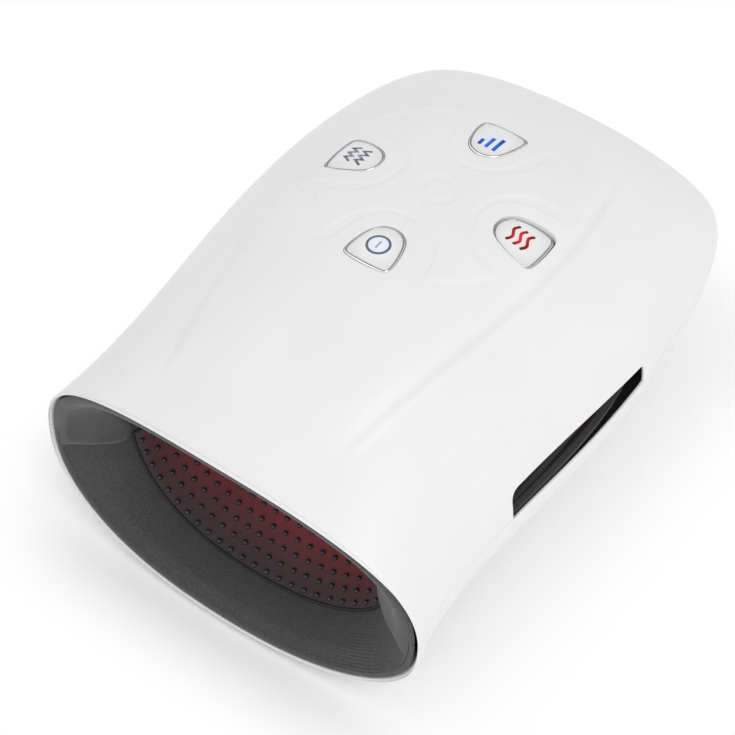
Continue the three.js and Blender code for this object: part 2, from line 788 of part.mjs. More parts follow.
function addLining() {
  const lifted = (outset) => (share, place) => {
    const point = cavityPoint(share, place, outset);
    return point.setZ(point.z + (place === rightSeam || place === leftSeam ? clearance : 0));
  };
  const above = cavityPlaces.filter((place) => place <= leftSeam);
  const roofLiner = wall(lifted(linerThickness), lifted(0), cavityShares, above);
  const upper = less(solid(roofLiner), ...slotCutters(slotLinerMargin));
  addNode("upper_liner", geometryOf(upper), greyKnit());
  const floorLiner = layer(level(0), level(linerThickness), [0, 1], [leftSeam, fullCircle]);
  addNode("lower_liner", floorLiner, greyKnit());
  const mat = layer(level(-seatGap - matThickness), level(-seatGap), matShares, matPlaces);
  addNode("nub_mat", mat, nubRubber());
  const below = about(keel, bagDegrees);
  const over = about(crown, bagDegrees);
  const film = layer(level(filmOutset), level(filmOutset + filmThickness), bagShares, below);
  addNode("heating_film", film, heatFilm());
  addNode("palm_airbag", airbag(palmBagOutset, palmRoom, bagShares, below), bagFilm());
  const handShares = [bagShares[0], bagSplitShares[0]];
  const fingerShares = [bagSplitShares[1], bagShares[1]];
  addNode("hand_airbag", airbag(bagOutset, level(bagDepth), handShares, over), bagFilm());
  addNode("finger_airbag", airbag(bagOutset, level(bagDepth), fingerShares, over), bagFilm());
}

const frameCrown = cavityTop + bagOutset + bagDepth + clearance;
const frameTopCrown = frameCrown + frameThickness;

function addFrame() {
  const within = filledBody(wallThickness + clearance);
  const drop = frameDropShare * (cavityTop - seamHeight(1 / 2));
  const sag = (x) => drop * (x / (mouthHalfWidth - frameSideInset)) ** 2;
  const vault = (rise) => (y, x) => new THREE.Vector3(x, y, frameCrown - sag(x) + rise);
  const lengthwise = [mouthY + frameStart, cavityEndY + frameReach];
  const crosswise = evenly(-mouthHalfWidth, mouthHalfWidth, vaultSteps);
  const plate = wall(vault(frameThickness), vault(0), lengthwise, crosswise);
  const posts = [-1, 1].flatMap((across) => [-1, 1].map((along) => {
    const [x, y] = [across * boardPostSpread, patternY + along * boardPostSpread];
    const low = frameCrown - sag(boardPostSpread) + frameThickness / 2;
    return solid(upright(boardPostRadius, low, boardBottom - seatGap, x, y));
  }));
  const ribX = batteryWidth / 2 - frameRibWidth;
  const ribLow = frameCrown - sag(batteryWidth / 2) + frameThickness / 2;
  const ribs = [-ribX, ribX].map((x) => {
    return solid(box(frameRibWidth, batteryLength, frameTopCrown - ribLow, x, batteryY, ribLow));
  });
  const frame = joined(solid(plate), ...posts, ...ribs).intersect(within);
  // Each corner is cut away round its screw boss and from there out to the side.
  const room = bosses.flatMap(([x, y]) => {
    const reach = bossRadius + clearance;
    const outward = x + (Math.sign(x) * mouthHalfWidth) / 2;
    return [
      solid(upright(reach, 0, crownHeight, x, y)),
      solid(box(mouthHalfWidth, 2 * reach, crownHeight, outward, y, 0)),
    ];
  });
  addNode("upper_frame", geometryOf(less(frame, ...room)), framePlastic());
}

function addElectronics() {
  buttons.forEach(addButton);
  const board = upright(boardRadius, boardBottom, boardTop, 0, patternY, boardRadius, 2 * roundSteps);
  addNode("main_board", board, boardGreen());
  const chip = box(chipWidth, chipWidth, chipHeight, 0, patternY, boardTop + seatGap);
  addNode("controller_chip", chip, switchBlack());
  const half = [batteryWidth / 2 - batteryCorner, batteryLength / 2 - batteryCorner];
  const outline = new THREE.Shape();
  [[1, 1], [-1, 1], [-1, -1], [1, -1]].forEach(([a, b], i) => {
    const start = (i * halfTurn) / 2;
    outline.absarc(a * half[0], b * half[1], batteryCorner, start, start + halfTurn / 2);
  });
  const pack = extruded(outline, batteryHeight);
  pack.translate(0, batteryY, frameTopCrown + seatGap);
  addNode("battery_pack", pack, cellSilver());
}

// The pump lies along X; its pieces are turned about an upright axis and laid over.
const pumpZ = trayTop + seatGap + cradleBase + seatGap + motorRadius;
function addPumpPiece(name, geometry, startX, material) {
  const laid = geometry.clone();
  laid.rotateY(halfTurn / 2);
  laid.translate(startX, pumpY, pumpZ);
  return addNode(name, laid, material);
}

function addPump() {
  const motor = turned([
    [shaftHoleRadius, 0], [motorRadius, 0], [motorRadius, motorLength], [shaftHoleRadius, motorLength],
    [shaftHoleRadius, motorLength - motorWall], [motorRadius - motorWall, motorLength - motorWall],
    [motorRadius - motorWall, motorWall], [shaftHoleRadius, motorWall],
  ]);
  addPumpPiece("pump_motor", motor, -trayHalfWidth, steel());
  const core = [motorWall + rotorEndGap, motorLength - motorWall - rotorEndGap];
  const shaftEnd = motorLength + shaftReach;
  const shaft = solid(turned([
    [0, 0], [shaftRadius, 0], [shaftRadius, core[0]], [rotorRadius, core[0]],
    [rotorRadius, core[1]], [shaftRadius, core[1]], [shaftRadius, shaftEnd], [0, shaftEnd],
  ]));
  const crankStart = motorLength + housingWall + crankGap;
  const crank = solid(upright(crankRadius, crankStart, crankStart + crankLength, crankOffset, 0));
  addPumpPiece("pump_rotor", geometryOf(shaft.add(crank)), -trayHalfWidth, brass());
  const bore = housingRadius - housingWall;
  const housing = turned([
    [shaftHoleRadius, 0], [housingRadius, 0], [housingRadius, housingLength], [bore, housingLength],
    [bore, housingWall], [shaftHoleRadius, housingWall],
  ]);
  const housingX = -trayHalfWidth + motorLength + seatGap;
  addPumpPiece("pump_housing", housing, housingX, pumpBlack());
  const diaphragmX = housingX + housingLength + seatGap;
  const disc = turned([
    [0, 0], [housingRadius, 0], [housingRadius, diaphragmThickness], [0, diaphragmThickness],
  ]);
  addPumpPiece("pump_diaphragm", disc, diaphragmX, nubRubber());
  const capX = diaphragmX + diaphragmThickness + seatGap;
  const tip = headCapLength + nozzleLength;
  const cap = turned([
    [nozzleBoreRadius, 0], [housingRadius, 0], [housingRadius, headCapLength],
    [nozzleRadius, headCapLength], [nozzleRadius, tip], [nozzleBoreRadius, tip],
  ]);
  addPumpPiece("pump_head", cap, capX, pumpBlack());

  const cradle = solid(box(motorLength, 2 * cradleHalfWidth, cradleBase + cradleRise, 0, 0, 0));
  const notchRadius = motorRadius + seatGap;
  const notch = upright(notchRadius, -motorLength, motorLength, 0, 0, notchRadius, 2 * roundSteps);
  notch.rotateY(halfTurn / 2);
  notch.translate(0, 0, cradleBase + seatGap + motorRadius);
  const block = cradle.subtract(solid(notch));
  const seat = block.translate([motorLength / 2 - trayHalfWidth, pumpY, trayTop + seatGap]);
  addNode("pump_cradle", geometryOf(seat.intersect(filledBody(wallThickness + clearance))), foamGrey());
  return capX + tip;
}

// Two solenoid valves, each an upright coil with a lifting plunger, on one air block. The
// block takes air in at its end and gives it out through a nozzle in front of each valve.
const blockLow = trayTop + seatGap;
const valveXs = [trayHalfWidth - valveEdge - valveSpacing, trayHalfWidth - valveEdge];
const blockStartX = valveXs[0] - valveBlockMargin;
const nozzleZ = blockLow + valveBlockHeight / 2;
const hoseDropY = cavityEndY + linerThickness + hoseRadius + 2 * clearance;
const frontNozzleY = hoseDropY + hoseBend + hoseLead + clearance;
const valveY = frontNozzleY + nozzleLength + valveBlockLength / 2;

function addValves() {
  const width = valveXs[1] + valveBlockMargin - blockStartX;
  const middle = blockStartX + width / 2;
  const block = solid(box(width, valveBlockLength, valveBlockHeight, middle, valveY, blockLow));
  const outlets = valveXs.map((x) => {
    const nozzle = upright(nozzleRadius, 0, nozzleLength + valveBlockLength / 4);
    nozzle.rotateX(-halfTurn / 2);
    nozzle.translate(x, frontNozzleY, nozzleZ);
    return solid(nozzle);
  });
  const inlet = upright(nozzleRadius, 0, nozzleLength + valveBlockLength / 4);
  inlet.rotateY(halfTurn / 2);
  inlet.translate(blockStartX - nozzleLength, valveY, nozzleZ);
  addNode("valve_block", geometryOf(joined(block, ...outlets, solid(inlet))), framePlastic());
  const seat = blockLow + valveBlockHeight + seatGap;
  valveXs.forEach((x, i) => {
    const coil = turned([
      [0, 0], [valveRadius, 0], [valveRadius, valveHeight], [valveBoreRadius, valveHeight],
      [valveBoreRadius, valveBase], [0, valveBase],
    ]);
    coil.translate(x, valveY, seat);
    addNode("valve_coil_" + (i + 1), coil, pumpBlack());
    const low = seat + valveBase + valveLift;
    const plunger = upright(valvePlungerRadius, low, low + valvePlungerLength, x, valveY);
    addNode("valve_plunger_" + (i + 1), plunger, steel());
  });
}

// Hoses from the pump to the valve block, over the lining to the finger airbag, and under
// it to the palm airbag.
function addHoses(pumpTipX) {
  const startX = pumpTipX + clearance;
  const endX = blockStartX - nozzleLength - clearance;
  addNode("hose_pump", tube([
    [startX, pumpY, pumpZ],
    [startX + hoseLead, pumpY, pumpZ],
    [endX - hoseLead, valveY, nozzleZ],
    [endX, valveY, nozzleZ],
  ], hoseRadius), hoseClear());
  // Each airbag hose bends up or down in front of its nozzle and runs on to its airbag.
  const rest = linerThickness + hoseRadius + 2 * clearance;
  const airbagHose = (name, x, way, fallY, heightOver) => {
    const slant = hoseBend * Math.SQRT1_2;
    const place = way > 0 ? crown - hoseEndDegrees : keel + hoseEndDegrees;
    const bagEnd = cavityPoint(bagShares[1], place, rest);
    bagEnd.y += 3 * clearance;
    const run = hoseRunShares.map((share) => {
      const here = new THREE.Vector3(x, hoseDropY, 0).lerp(bagEnd, share);
      return [here.x, here.y, heightOver(here.x, here.y)];
    });
    const places = [
      [x, frontNozzleY - clearance, nozzleZ],
      [x, frontNozzleY - clearance - hoseLead, nozzleZ],
      [x, hoseDropY + hoseBend - slant, nozzleZ + way * (hoseBend - slant)],
      [x, hoseDropY, nozzleZ + way * hoseBend],
      ...fallY,
      ...run,
      bagEnd.toArray(),
    ];
    addNode(name, tube(places, hoseRadius), hoseClear());
  };
  const seamZ = seamHeight(shareAt(hoseDropY));
  const overLining = (x, y) => cavityRoofAt(x, y, rest);
  const onBelly = (x, y) => bellyAt(x, y) + wallThickness + hoseRadius + hoseRise;
  airbagHose("hose_upper", valveXs[0], 1, [[valveXs[0], hoseDropY, seamZ]], overLining);
  airbagHose("hose_palm", valveXs[1], -1, [], onBelly);
}

function addRearBay() {
  const within = filledBody(wallThickness + clearance);
  const length = trayBackY - trayFrontY;
  const middle = (trayFrontY + trayBackY) / 2;
  const low = trayTop - trayThickness;
  const plate = solid(box(2 * trayHalfWidth, length, trayThickness, 0, middle, low));
  const portFloor = portZ - portHeight / 2 - seatGap - portBoardThickness;
  const boardY = portBoardY();
  const postLow = trayTop - trayThickness / 2;
  const post = solid(upright(portPostRadius, postLow, portFloor - seatGap, 0, boardY));
  addNode("rear_tray", geometryOf(joined(plate, post).intersect(within)), framePlastic());
  const board = box(portBoardWidth, portBoardLength, portBoardThickness, 0, boardY, portFloor);
  addNode("port_board", board, boardGreen());
  const hollow = extruded(portShape(-portWall), portDepth);
  hollow.translate(0, 0, -portWall);
  const socket = geometryOf(solid(extruded(portShape(0), portDepth)).subtract(solid(hollow)));
  socket.rotateX(halfTurn / 2);
  socket.translate(0, backY - wallThickness / 2, portZ);
  addNode("charge_port", socket, steel());
  addValves();
  addHoses(addPump());
}

function portBoardY() {
  return backY - wallThickness - portBoardMargin - portBoardLength / 2;
}

function addFastenersAndFeet() {
  const body = filledBody(-seatGap);
  feet.forEach(([x, y], i) => {
    const low = loft([
      levelRing(footRadius - footChamfer, x, y, 0),
      levelRing(footRadius, x, y, footChamfer),
      levelRing(footRadius, x, y, footReach),
    ]);
    addNode("foot_" + (i + 1), geometryOf(solid(low).subtract(body)), footRubber());
  });
  bosses.forEach(([x, y], i) => {
    const seat = headSeat(y) - clearance;
    const screw = turned([
      [0, seat - screwHeadHeight], [screwHeadRadius, seat - screwHeadHeight],
      [screwHeadRadius, seat], [screwRadius, seat],
      [screwRadius, seat + bossSeat + screwReach], [0, seat + bossSeat + screwReach],
    ]);
    screw.translate(x, y, 0);
    const low = seat - screwHeadHeight;
    const depth = [low - overrun, low + socketDepth];
    const socket = upright(socketRadius, ...depth, x, y, socketRadius, socketSides);
    addNode("case_screw_" + (i + 1), geometryOf(solid(screw).subtract(solid(socket))), steel());
  });
}

function levelRing(radius, x, y, z) {
  const loop = [];
  for (let i = 0; i < roundSteps; i += 1) {
    const angle = (i / roundSteps) * fullTurn;
    loop.push(new THREE.Vector3(x + radius * Math.cos(angle), y + radius * Math.sin(angle), z));
  }
  return loop;
}

addShells();
addLining();
addFrame();
addElectronics();
addRearBay();
addFastenersAndFeet();

export default group;
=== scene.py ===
"""Looks of a hand massager: fine shells, knitted lining, nub mat, buttons and their finishes.

Shapes are worked out in millimetres in the model's own frame: +X to the right, +Y from the
mouth to the closed end, +Z up. A mesh is scaled to metres when it is made.
"""
import math

import bmesh
import bpy
import numpy as np
from mathutils import Matrix, Vector
from mathutils.geometry import delaunay_2d_cdt
from mathutils.kdtree import KDTree


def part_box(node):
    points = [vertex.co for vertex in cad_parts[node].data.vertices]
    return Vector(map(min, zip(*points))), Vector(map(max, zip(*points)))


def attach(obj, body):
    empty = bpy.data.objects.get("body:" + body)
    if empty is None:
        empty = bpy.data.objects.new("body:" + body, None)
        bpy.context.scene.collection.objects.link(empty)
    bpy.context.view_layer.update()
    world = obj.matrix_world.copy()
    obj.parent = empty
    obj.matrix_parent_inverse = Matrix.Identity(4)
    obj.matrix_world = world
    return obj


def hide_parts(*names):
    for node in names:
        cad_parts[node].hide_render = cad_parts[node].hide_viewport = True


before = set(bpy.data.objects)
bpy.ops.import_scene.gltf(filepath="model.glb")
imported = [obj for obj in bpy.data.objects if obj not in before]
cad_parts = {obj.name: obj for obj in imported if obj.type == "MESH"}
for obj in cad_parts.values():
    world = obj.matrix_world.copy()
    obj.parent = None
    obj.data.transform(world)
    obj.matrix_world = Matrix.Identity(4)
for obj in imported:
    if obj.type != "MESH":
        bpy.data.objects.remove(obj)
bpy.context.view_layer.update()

MM = 0.001

# Sizes of the body, the same as the solids have.

BODY_LENGTH = 234.0
MOUTH_Y = -BODY_LENGTH / 2
MOUTH_HALF_WIDTH = 84.0
CROWN_HEIGHT = 112.4
WIDTH_SHARES = (1, 0.95, 1.012, 0.994, 0.876)
HEIGHT_SHARES = (0.817, 0.974, 1, 0.976, 0.872)
SEAM_SHARES = (0.396, 0.524)
BELLY_HEIGHT = 3.0
MOUTH_BOW = 7.3
PLAN_POWER = 8.2
ROOF_POWER = 2.95
BELLY_POWER = 3.7
ROOF_ROUND = (2.22, 2.04)
BELLY_ROUND = (2.64, 1.9)
WALL = 2.8
CLEARANCE = 0.3
SEAT_GAP = 0.15

SLOT_SHARES = (0.2927, 0.6218)
SLOT_RISES = (14.0, 9.0)
SLOT_CROWN = 3.4
SLOT_RADII = (5.5, 3.0)

LINER = 2.5
LIP_DEPTH = 1.6
CAVITY_DEPTH = BODY_LENGTH - LIP_DEPTH - 42.4
CAVITY_TOP = CROWN_HEIGHT - 37.4
CAVITY_FLOOR = 16.0
MAT_SHARES = (0.092, 0.953)
MAT_DEGREES = 168.0
BAG_DEGREES = 90.0
BAG_SHARES = (0.174, 0.8)
BAG_SPLIT = (0.505, 0.532)

PATTERN_Y = MOUTH_Y + 0.5756 * BODY_LENGTH
PATTERN_RADIUS = MOUTH_HALF_WIDTH * 0.4369
FAN_CIRCLES = ((-3.2, 0.0, 7.6), (5.8, 7.2, 2.2), (5.8, -7.2, 2.2))
FAN_POWER = 10
BEZEL_WIDTH = 0.8
BUTTON_TURNS = {"power": -90, "heat": 0, "intensity": 90, "mode": 180}

BOSSES = [(x, y) for x0, y in ((72.5, -80.028), (66.0, 74.997)) for x in (-x0, x0)]
BOSS_RADIUS = 4.0
BOSS_SIDES = 32
WELL_RADIUS = 3.0
PILOT_RADIUS = 1.6
SCREW_REACH = 8.0
PORT_HALF_WIDTH, PORT_HALF_RISE, PORT_ROUND = 4.45, 1.6, 1.5
PORT_Z = CROWN_HEIGHT * SEAM_SHARES[1] - 13.9

# Sizes that only the looks have: the leaning mouth, thinner walls at openings, the caps' gap and trim.

RAKE = 4.6
RAKE_LEVEL = 56.0
RAKE_REACH = 46.0
RAKE_SPAN = 90.0
RAKE_LIMITS = (-0.6, 0.4)
LIP_THINNING = 1.7
SLOT_THINNING = 1.7
THINNING_REACH = 7.0
THINNING_RISE = 12.0
CAP_GAP = 0.16
CAP_TRIM = 0.56

NEARLY_END = 0.99999


def smooth(value):
    t = np.clip(value, 0, 1)
    return t * t * (3 - 2 * t)


def ramp(value, start, length):
    """A smooth rise from 0 to 1 that begins at start."""
    return smooth((value - start) / length)


def raked(points):
    """The points with the mouth's plane leaning: its crown further back than its floor."""
    points = np.array(points, float)
    near = 1 - smooth((points[:, 1] - MOUTH_Y + 2) / RAKE_REACH)
    points[:, 1] += near * RAKE * np.clip((points[:, 2] - RAKE_LEVEL) / RAKE_SPAN, *RAKE_LIMITS)
    return points


def lip_thinning(deep):
    """How much thinner the shells' wall is at a distance inwards from the mouth."""
    return LIP_THINNING * (1 - smooth(deep / THINNING_REACH))


def slot_thinning(y, z):
    """How much thinner the shells' wall is near the thumb slots."""
    front, back = (MOUTH_Y + share * BODY_LENGTH for share in SLOT_SHARES)
    seam = seam_height(share_at(y))
    along = np.maximum(np.maximum(front - y, y - back), 0)
    above = np.maximum(np.maximum(seam - z, z - seam - THINNING_RISE), 0)
    return SLOT_THINNING * (1 - smooth(np.hypot(along, above) / THINNING_REACH))


def mouth_distance(x, y):
    """How far behind the bowed rim of the mouth a point lies."""
    return y - MOUTH_Y - MOUTH_BOW * np.minimum((x / MOUTH_HALF_WIDTH) ** 2, 1)


def lerp(low, high, share):
    return low + (high - low) * share


def share_at(y):
    """The share of the body's length at a point."""
    return (y - MOUTH_Y) / BODY_LENGTH


def full_turn(count):
    """Angles spread evenly over a full turn."""
    return np.linspace(0, 2 * np.pi, count, endpoint=False)


def lengths_along(path):
    """How far along a path each of its points lies."""
    return np.concatenate([[0], np.cumsum(np.linalg.norm(np.diff(path, axis=0), axis=1))])


def unit(vectors):
    return vectors / np.linalg.norm(vectors, axis=1, keepdims=True)


def through(values, share):
    """A smooth curve through evenly spaced values."""
    last = len(values) - 1
    total = 0.0
    for i, value in enumerate(values):
        term = value
        for j in range(last + 1):
            if j != i:
                term = term * (share * last - j) / (i - j)
        total = total + term
    return total


def end_round(share, power):
    """One for most of the length, falling to zero at the closed end."""
    return np.maximum(0, 1 - share ** (2 * power)) ** (1 / power)


def half_width(share):
    return MOUTH_HALF_WIDTH * through(WIDTH_SHARES, share)


def roof_height(share):
    return CROWN_HEIGHT * through(HEIGHT_SHARES, share)


def seam_height(share):
    return CROWN_HEIGHT * lerp(*SEAM_SHARES, share)


class Half:
    """Half of the body's surface: the roof above the seam, or the belly below it.

    A spot on it is a share of the length from the mouth and a place in degrees, from 0 at the
    right-hand seam to 180 at the left-hand one.
    """

    def __init__(self, way):
        self.way = way

    def exponent(self, share):
        return lerp(*(ROOF_ROUND if self.way > 0 else BELLY_ROUND), share)

    def half(self, share, inset):
        return (half_width(share) - inset) * end_round(share, PLAN_POWER)

    def rise(self, share, inset):
        if self.way > 0:
            full, power = roof_height(share) - seam_height(share), ROOF_POWER
        else:
            full, power = seam_height(share) - BELLY_HEIGHT, BELLY_POWER
        return (full - inset) * end_round(share, power)

    def point(self, share, place, inset=0.0):
        angle = np.radians(place)
        power = 2 / self.exponent(share)
        cosine, sine = np.cos(angle), np.maximum(np.sin(angle), 0)
        across = np.sign(cosine) * np.abs(cosine) ** power
        x = self.half(share, inset) * across
        z = seam_height(share) + self.way * self.rise(share, inset) * sine**power
        y = MOUTH_Y + share * (BODY_LENGTH - inset) + MOUTH_BOW * (1 - share) ** 2 * across**2
        return np.stack([x, y, z], -1)

    def over(self, x, y, inset=0.0):
        """The points straight above or below the points of a plan."""
        x, y = np.broadcast_arrays(np.asarray(x, float), np.asarray(y, float))
        length = BODY_LENGTH - inset
        share = (y - MOUTH_Y) / length
        for _ in range(6):
            across = np.minimum(np.abs(x) / np.maximum(self.half(np.clip(share, 0, 1), inset), 1e-6), 1)
            share = (y - MOUTH_Y - MOUTH_BOW * (1 - share) ** 2 * across**2) / length
            share = np.clip(share, 0, NEARLY_END)
        power = self.exponent(share)
        z = seam_height(share) + self.way * self.rise(share, inset) * (1 - across**power) ** (1 / power)
        return np.stack([x, y, z], -1)

    def beside(self, side, y, z, inset=0.0):
        """The points of a side that show at a distance along the body and a height."""
        y, z = np.broadcast_arrays(np.asarray(y, float), np.asarray(z, float))
        length = BODY_LENGTH - inset
        share = np.clip((y - MOUTH_Y) / length, 0, NEARLY_END)
        for _ in range(8):
            high = np.clip(self.way * (z - seam_height(share)), 0, None)
            power = self.exponent(share)
            sunk = np.clip(high / self.rise(share, inset), 0, 1) ** power
            across = (1 - sunk) ** (1 / power)
            share = (y - MOUTH_Y - MOUTH_BOW * (1 - share) ** 2 * across**2) / length
            share = np.clip(share, 0, NEARLY_END)
        return np.stack([side * self.half(share, inset) * across, y, z], -1)

    def behind(self, x, z, inset=0.0):
        """The points of the closed end that show at a distance across and a height."""
        x, z = np.broadcast_arrays(np.asarray(x, float), np.asarray(z, float))
        low, high = np.full(x.shape, 0.5), np.full(x.shape, 1.0)
        for _ in range(50):
            share = (low + high) / 2
            power = self.exponent(share)
            up = np.clip(self.way * (z - seam_height(share)), 0, None)
            reach = (np.abs(x) / np.maximum(self.half(share, inset), 1e-9)) ** power
            reach = reach + (up / np.maximum(self.rise(share, inset), 1e-9)) ** power
            low, high = np.where(reach < 1, share, low), np.where(reach < 1, high, share)
        return np.stack([x, MOUTH_Y + high * (BODY_LENGTH - inset), z], -1)


ROOF, BELLY = Half(1), Half(-1)


def roof_at(x, y):
    return ROOF.over(x, y)[..., 2]


# Meshes.

def piece(name, points, faces, finish, uv=None, crisp=None):
    """A mesh object from points in millimetres, with its faces turned outwards."""
    mesh = bpy.data.meshes.new(name)
    mesh.from_pydata((raked(points) * MM).tolist(), [], [list(map(int, f)) for f in faces])
    if uv is not None:
        layer = mesh.uv_layers.new(name="UVMap")
        corner = np.zeros(len(mesh.loops), int)
        mesh.loops.foreach_get("vertex_index", corner)
        layer.data.foreach_set("uv", np.asarray(uv, float)[corner].ravel())
    tidy = bmesh.new()
    tidy.from_mesh(mesh)
    bmesh.ops.remove_doubles(tidy, verts=tidy.verts, dist=0.002 * MM)
    bmesh.ops.dissolve_degenerate(tidy, edges=tidy.edges, dist=0.0005 * MM)
    if tidy.calc_volume(signed=True) < 0:
        bmesh.ops.reverse_faces(tidy, faces=tidy.faces)
    tidy.to_mesh(mesh)
    tidy.free()
    mesh.shade_smooth()
    if crisp is not None:
        mesh.set_sharp_from_angle(angle=math.radians(crisp))
    mesh.materials.append(finish)
    made = bpy.data.objects.new(name, mesh)
    bpy.context.scene.collection.objects.link(made)
    return made


def strip(first, second, closed=True):
    """Faces between two rows of as many points each."""
    count = len(first)
    faces = []
    for i in range(count if closed else count - 1):
        j = (i + 1) % count
        faces.append((first[i], first[j], second[j], second[i]))
    return faces


def loft(name, loops, finish, ring=False, crisp=30):
    """A solid through loops of equally many points. Without ring, its ends are closed."""
    loops = [np.asarray(loop, float) for loop in loops]
    count = len(loops[0])
    points = np.concatenate(loops)
    rows = [np.arange(count) + k * count for k in range(len(loops))]
    faces = []
    for a, b in zip(rows, rows[1:] + rows[:1] if ring else rows[1:]):
        faces += strip(a, b)
    if not ring:
        for loop, row in ((loops[0], rows[0]), (loops[-1], rows[-1])):
            faces += [(row[i], row[(i + 1) % count], len(points)) for i in range(count)]
            points = np.concatenate([points, loop.mean(0)[None]])
    return piece(name, points, orient(points, faces), finish, crisp=crisp)


def orient(points, faces):
    """The same faces, all turned the same way round, without collapsed and repeated ones."""
    work = bmesh.new()
    verts = [work.verts.new(p) for p in points]
    for face in faces:
        if len(set(face)) == len(face):
            try:
                work.faces.new([verts[i] for i in face])
            except ValueError:
                pass
    bmesh.ops.recalc_face_normals(work, faces=work.faces)
    work.verts.index_update()
    turned = [[v.index for v in face.verts] for face in work.faces]
    work.free()
    return turned


def round_path(x, y, radius, count):
    """Points of a circle in plan."""
    angle = full_turn(count)
    return np.stack([x + radius * np.cos(angle), y + radius * np.sin(angle)], -1)


def ring_loop(radius, x, y, z, count):
    """A circle whose height is a number or a function of X and Y."""
    path = round_path(x, y, radius, count)
    height = z(*path.T) if callable(z) else np.full(count, z)
    return np.column_stack([path, height])


def rounded(distance, radius):
    """How far an edge of a radius has fallen away at a distance from the edge."""
    short = np.clip(radius - distance, 0, radius)
    return radius - np.sqrt(radius**2 - short**2)


EDGE_ANGLES = [math.radians(angle) for angle in (0, 20, 42, 65, 90)]


class KeepClear:
    """Keeps points that aren't close to the ones already kept."""

    def __init__(self, points):
        self.points = [tuple(p) for p in points]

    def keep(self, fresh, room):
        tree = KDTree(len(self.points))
        for i, point in enumerate(self.points):
            tree.insert(point, i)
        tree.balance()
        kept = np.array([tree.find(point)[2] > room for point in fresh], bool)
        good = fresh[kept]
        self.points += [tuple(p) for p in good]
        return good


def inside(points, loop):
    """Which points lie inside a closed loop."""
    result = np.zeros(len(points), bool)
    for (x0, y0), (x1, y1) in zip(loop, np.roll(loop, -1, 0)):
        if y0 == y1:
            continue
        crosses = (points[:, 1] >= min(y0, y1)) & (points[:, 1] < max(y0, y1))
        at = x0 + (points[:, 1] - y0) * (x1 - x0) / (y1 - y0)
        result ^= crosses & (points[:, 0] < at)
    return result


def spread_flat(points, way):
    """Points of a dome laid out on a plane, round its top, with little stretch."""
    x, y, z = points.T
    top = CROWN_HEIGHT if way > 0 else BELLY_HEIGHT
    radius = np.hypot(x, y) + 1e-9
    factor = 1 + np.maximum(way * (top - z), 0) / radius
    return np.stack([x * factor, y * factor], -1)


def skin(way, loops, fill, lift=None, sink=1.0):
    """One face of a shell: strips round each opening, and triangles between them.

    Each loop is a list of rows of points with the depth that each row lies below the surface,
    from the edge inwards; the first loop is the outer one. Gives points, faces and edge rows.
    """
    last = [rows[-1][0] for rows in loops]
    inner = np.concatenate(last + [fill])
    flat = spread_flat(inner, way)
    edges, start = [], 0
    for row in last:
        edges += [(start + i, start + (i + 1) % len(row)) for i in range(len(row))]
        start += len(row)
    found = delaunay_2d_cdt([Vector(p) for p in flat], edges, [], 0, 1e-7)
    alias = np.arange(len(inner))
    origin = []
    for sources in found[3]:
        origin.append(sources[0] if sources else -1)
        for source in sources:
            alias[source] = sources[0]
    origin = np.array(origin)
    triangles = origin[np.array([face for face in found[2] if len(face) == 3])]
    triangles = triangles[(triangles >= 0).all(1)]
    middle = flat[triangles].mean(1)
    start = 0
    good = np.ones(len(triangles), bool)
    for i, row in enumerate(last):
        within = inside(middle, flat[start : start + len(row)])
        good &= within if i == 0 else ~within
        start += len(row)
    faces = [tuple(face) for face in triangles[good]]
    points, depth = [inner], [np.zeros(len(inner))]
    edge_rows_found, start, total = [], 0, len(inner)
    for rows in loops:
        count = len(rows[-1][0])
        near = alias[np.arange(start, start + count)]
        start += count
        for row, fall in rows[-2::-1]:
            fresh = np.arange(count) + total
            total += count
            points.append(row)
            depth.append(np.full(count, float(fall)) if np.ndim(fall) == 0 else fall)
            faces += strip(near, fresh)
            near = fresh
        edge_rows_found.append(near)
    points, depth = np.concatenate(points), np.concatenate(depth)
    faces = orient(points, faces)
    normal = point_normals(points, faces)
    if normal[: len(inner), 2].sum() * way < 0:
        normal = -normal
    height = -depth if lift is None else lift(*points.T) - depth
    return points + normal * (sink * height)[:, None], faces, edge_rows_found


def point_normals(points, faces):
    """The mean direction that the faces round each point look."""
    three = np.array([(f[0], f[k], f[k + 1]) for f in faces for k in range(1, len(f) - 1)])
    a, b, c = points[three[:, 0]], points[three[:, 1]], points[three[:, 2]]
    normal = np.cross(b - a, c - a)
    normal /= np.maximum(np.linalg.norm(normal, axis=1, keepdims=True), 1e-12)
    total = np.zeros_like(points)
    for k in range(3):
        first, second, third = (points[three[:, (k + j) % 3]] for j in range(3))
        u, v = second - first, third - first
        cosine = (u * v).sum(1) / np.maximum(np.linalg.norm(u, axis=1) * np.linalg.norm(v, axis=1), 1e-12)
        np.add.at(total, three[:, k], normal * np.arccos(np.clip(cosine, -1, 1))[:, None])
    return total / np.maximum(np.linalg.norm(total, axis=1, keepdims=True), 1e-12)


# Outlines of the buttons, the thumb slots and the pattern on the roof.

